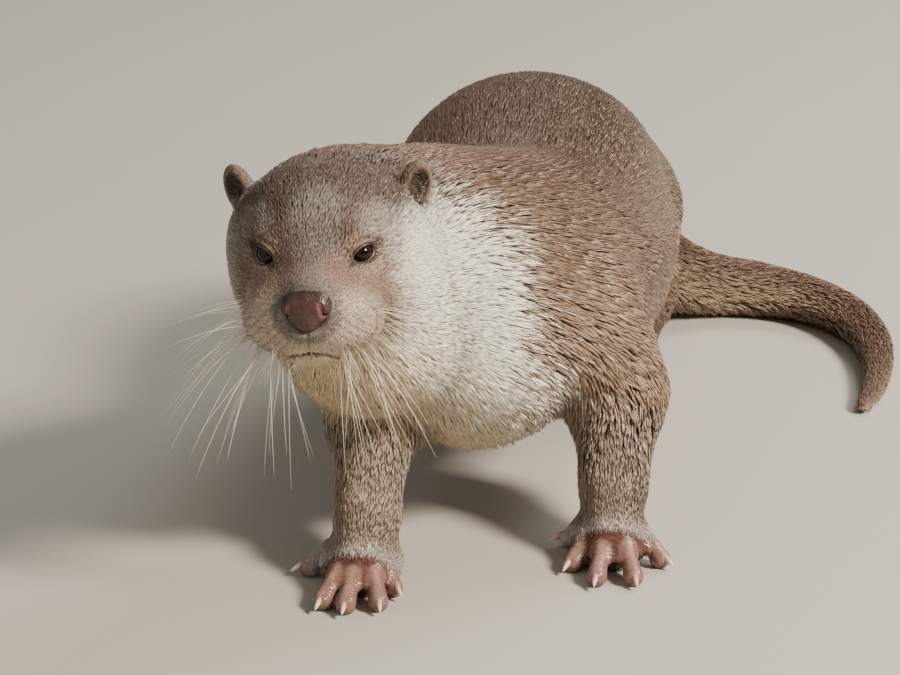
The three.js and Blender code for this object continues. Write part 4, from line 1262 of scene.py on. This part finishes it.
PEBBLE = 0.95  # millimetres across one pebble of the pad
leather, leather_tree, leather_shader = new_material("damp nose leather", Roughness=0.38,
                                                     Specular_IOR_Level=0.55)
leather_cells = node(leather_tree, "ShaderNodeTexVoronoi",
                     {"Scale": 1 / (PEBBLE * MM), "feature": "SMOOTH_F1"}, Vector=on_piece(leather_tree))
feed(leather_shader,
     Base_Color=shaded(leather_tree, attribute(leather_tree, "marking"), noise(leather_tree, 2.5, 3.0),
                       0.8, 1.25, 0.3, 0.7),
     Normal=relief(leather_tree, leather_cells.outputs["Distance"], 0.9, 0.35, invert=True))
nose_piece = mesh_of("nose_pad", nose_points, nose_quads, leather,
                     {"marking": ("FLOAT_COLOR", np.hstack([nose_paint, np.ones((len(nose_paint), 1))]))})
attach(nose_piece, "root")
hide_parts("nose")

# ---------------------------------------------------------------------------------------------------------
# The claws: short, curved and blunt, of clear horn that is pink over the quick and pale at the tip. Each one
# grows from the upper side of the end of its toe.
CLAW_LENGTH = 9.0
CLAW_RADIUS = 2.2
CLAW_SINK = 3.5
CLAW_DROP = 3.6
CLAW_SIDES = 12
CLAW_RINGS = 12

horn, horn_tree, horn_shader = new_material("clear claw horn", Roughness=0.3, IOR=1.55,
                                            Subsurface_Weight=0.15, Subsurface_Scale=0.002)
horn_tone = ramp(horn_tree, attribute(horn_tree, "along", "Fac"), (0.3, "#a8776a"), (0.8, "#e2cbb9"))
horn_grain = noise(horn_tree, 0.8, 2.0)
feed(horn_shader, Base_Color=shaded(horn_tree, horn_tone, horn_grain, 0.85, 1.12),
     Normal=relief(horn_tree, horn_grain, 0.2, 0.1))

for foot, foot_name in zip(FEET, ("left_forepaw", "right_forepaw", "left_hindpaw", "right_hindpaw")):
    toe_radius = (HIND_FOOT if foot[1] else FORE_FOOT)["toe"]
    for toe in range(5):
        pad, way_out = toe_line(foot, toe)[2], way_of(foot, toe)
        start = pad + way_out * (toe_radius * 0.75 - CLAW_SINK) + (0, 0, toe_radius * 0.35)
        beside = np.cross((0, 0, 1), way_out)
        rings = []
        for share in np.linspace(0, 1, CLAW_RINGS):
            middle = start + way_out * CLAW_LENGTH * share + (0, 0, -CLAW_DROP * share**1.8)
            fat = CLAW_RADIUS * (1 - share**1.6) ** 0.75 + 0.22
            rings.append([middle + beside * fat * 0.78 * math.cos(t) + np.array([0, 0, fat * math.sin(t)])
                          for t in np.linspace(0, 2 * math.pi, CLAW_SIDES, endpoint=False)])
        claw_points, claw_faces = rings_to_mesh(np.array(rings))
        share = np.concatenate([np.repeat(np.linspace(0, 1, CLAW_RINGS), CLAW_SIDES), [0, 1]])
        claw_piece = mesh_of(f"{foot_name}_horn_{toe + 1}", claw_points, claw_faces, horn,
                             {"along": ("FLOAT", share)})
        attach(claw_piece, "root")
        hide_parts(f"{foot_name}_claw_{toe + 1}")

# ---------------------------------------------------------------------------------------------------------
# The whiskers: stiff tapered hairs, cream and a little glossy, rooted in rows on the whisker pads, with a few
# on each cheek and on the chin. They leave the pad sideways and droop under their own weight.
WHISKER_SEED = 11
WHISKER_THICK = 0.21  # drawn a little thicker than real, so that it shows
WHISKER_SIDES = 5
WHISKER_STEPS = 12
WHISKER_LIMIT = cad_box[0][0] - 0.016  # none reaches further beyond the body
# root in the head (mirrored), count, spread of the roots, first direction, droop, length
WHISKER_GROUPS = [
    ((26, 30, -20), 9, (7, 2, 4), (0.15, 0.93, -0.10), (-0.35, -0.65), (30, 50)),
    ((26, 28, -26), 11, (7, 2, 4), (0.20, 0.80, -0.45), (-0.25, -0.60), (38, 58)),
    ((28, 22, -31), 10, (7, 4, 3), (0.22, 0.50, -0.75), (-0.20, -0.40), (34, 60)),
    ((30, 15, -34), 8, (5, 6, 2), (0.22, 0.16, -0.92), (-0.20, -0.30), (40, 66)),
    ((33, 14, -29), 8, (4, 4, 3), (0.35, 0.35, -0.80), (-0.15, -0.30), (10, 24)),
    ((4, 38, -22), 3, (4, 1, 4), (0.0, 0.85, -0.40), (-0.50, -0.55), (18, 28)),
    ((22, 8, -48), 4, (4, 3, 1), (0.30, 0.30, -0.85), (-0.35, -0.20), (8, 14)),
]

keratin, keratin_tree, keratin_shader = new_material("cream whisker keratin", Roughness=0.3, IOR=1.55)
feed(keratin_shader, Base_Color=ramp(keratin_tree, attribute(keratin_tree, "along", "Fac"),
                                     (0, "#b39a7c"), (0.35, "#f3ead6")))

pick = np.random.default_rng(WHISKER_SEED)
whisker_points, whisker_faces, whisker_share = [], [], []
for side in (1, -1):
    for root, number, spread, first, droop, reach in WHISKER_GROUPS:
        for _ in range(number):
            start = np.array(root) + pick.uniform(-1, 1, 3) * spread
            start = settle(skin_field, from_head([start * (1, side, 1)]), 6, 3)[0]
            heading = (np.array(first) + pick.normal(0, 0.2, 3)) * (1, side, 1)
            heading = heading / length(heading) @ HEAD_AXES
            long_one = pick.uniform(*reach)
            bend = np.array([droop[0] + pick.normal(0, 0.08), 0, droop[1] + pick.normal(0, 0.1)]) @ HEAD_AXES
            shares = np.linspace(0, 1, WHISKER_STEPS)
            line = start + long_one * (heading * shares[:, None] + bend * (shares**2)[:, None] * 0.62)
            root_x, low = placed(start)[0], placed(line)[:, 0].min()
            if low < WHISKER_LIMIT:
                line = start + (line - start) * (root_x - WHISKER_LIMIT) / (root_x - low)
            runs = np.gradient(line, axis=0)
            runs /= length(runs)[:, None]
            one = np.cross(runs, (0.3, 0.2, 0.93))
            one /= length(one)[:, None]
            other = np.cross(runs, one)
            thick = WHISKER_THICK * (1 - 0.82 * shares) * (0.65 if long_one < 25 else 1)
            rings = np.array([[p + (u * math.cos(t) + w * math.sin(t)) * r
                               for t in np.linspace(0, 2 * math.pi, WHISKER_SIDES, endpoint=False)]
                              for p, u, w, r in zip(line, one, other, thick)])
            points, faces = rings_to_mesh(rings)
            whisker_faces.append(faces + sum(len(block) for block in whisker_points))
            whisker_points.append(points)
            whisker_share.append(np.concatenate([np.repeat(shares, WHISKER_SIDES), [0, 1]]))
whisker_piece = mesh_of("whiskers", np.vstack(whisker_points), np.vstack(whisker_faces), keratin,
                        {"along": ("FLOAT", np.concatenate(whisker_share))})
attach(whisker_piece, "root")
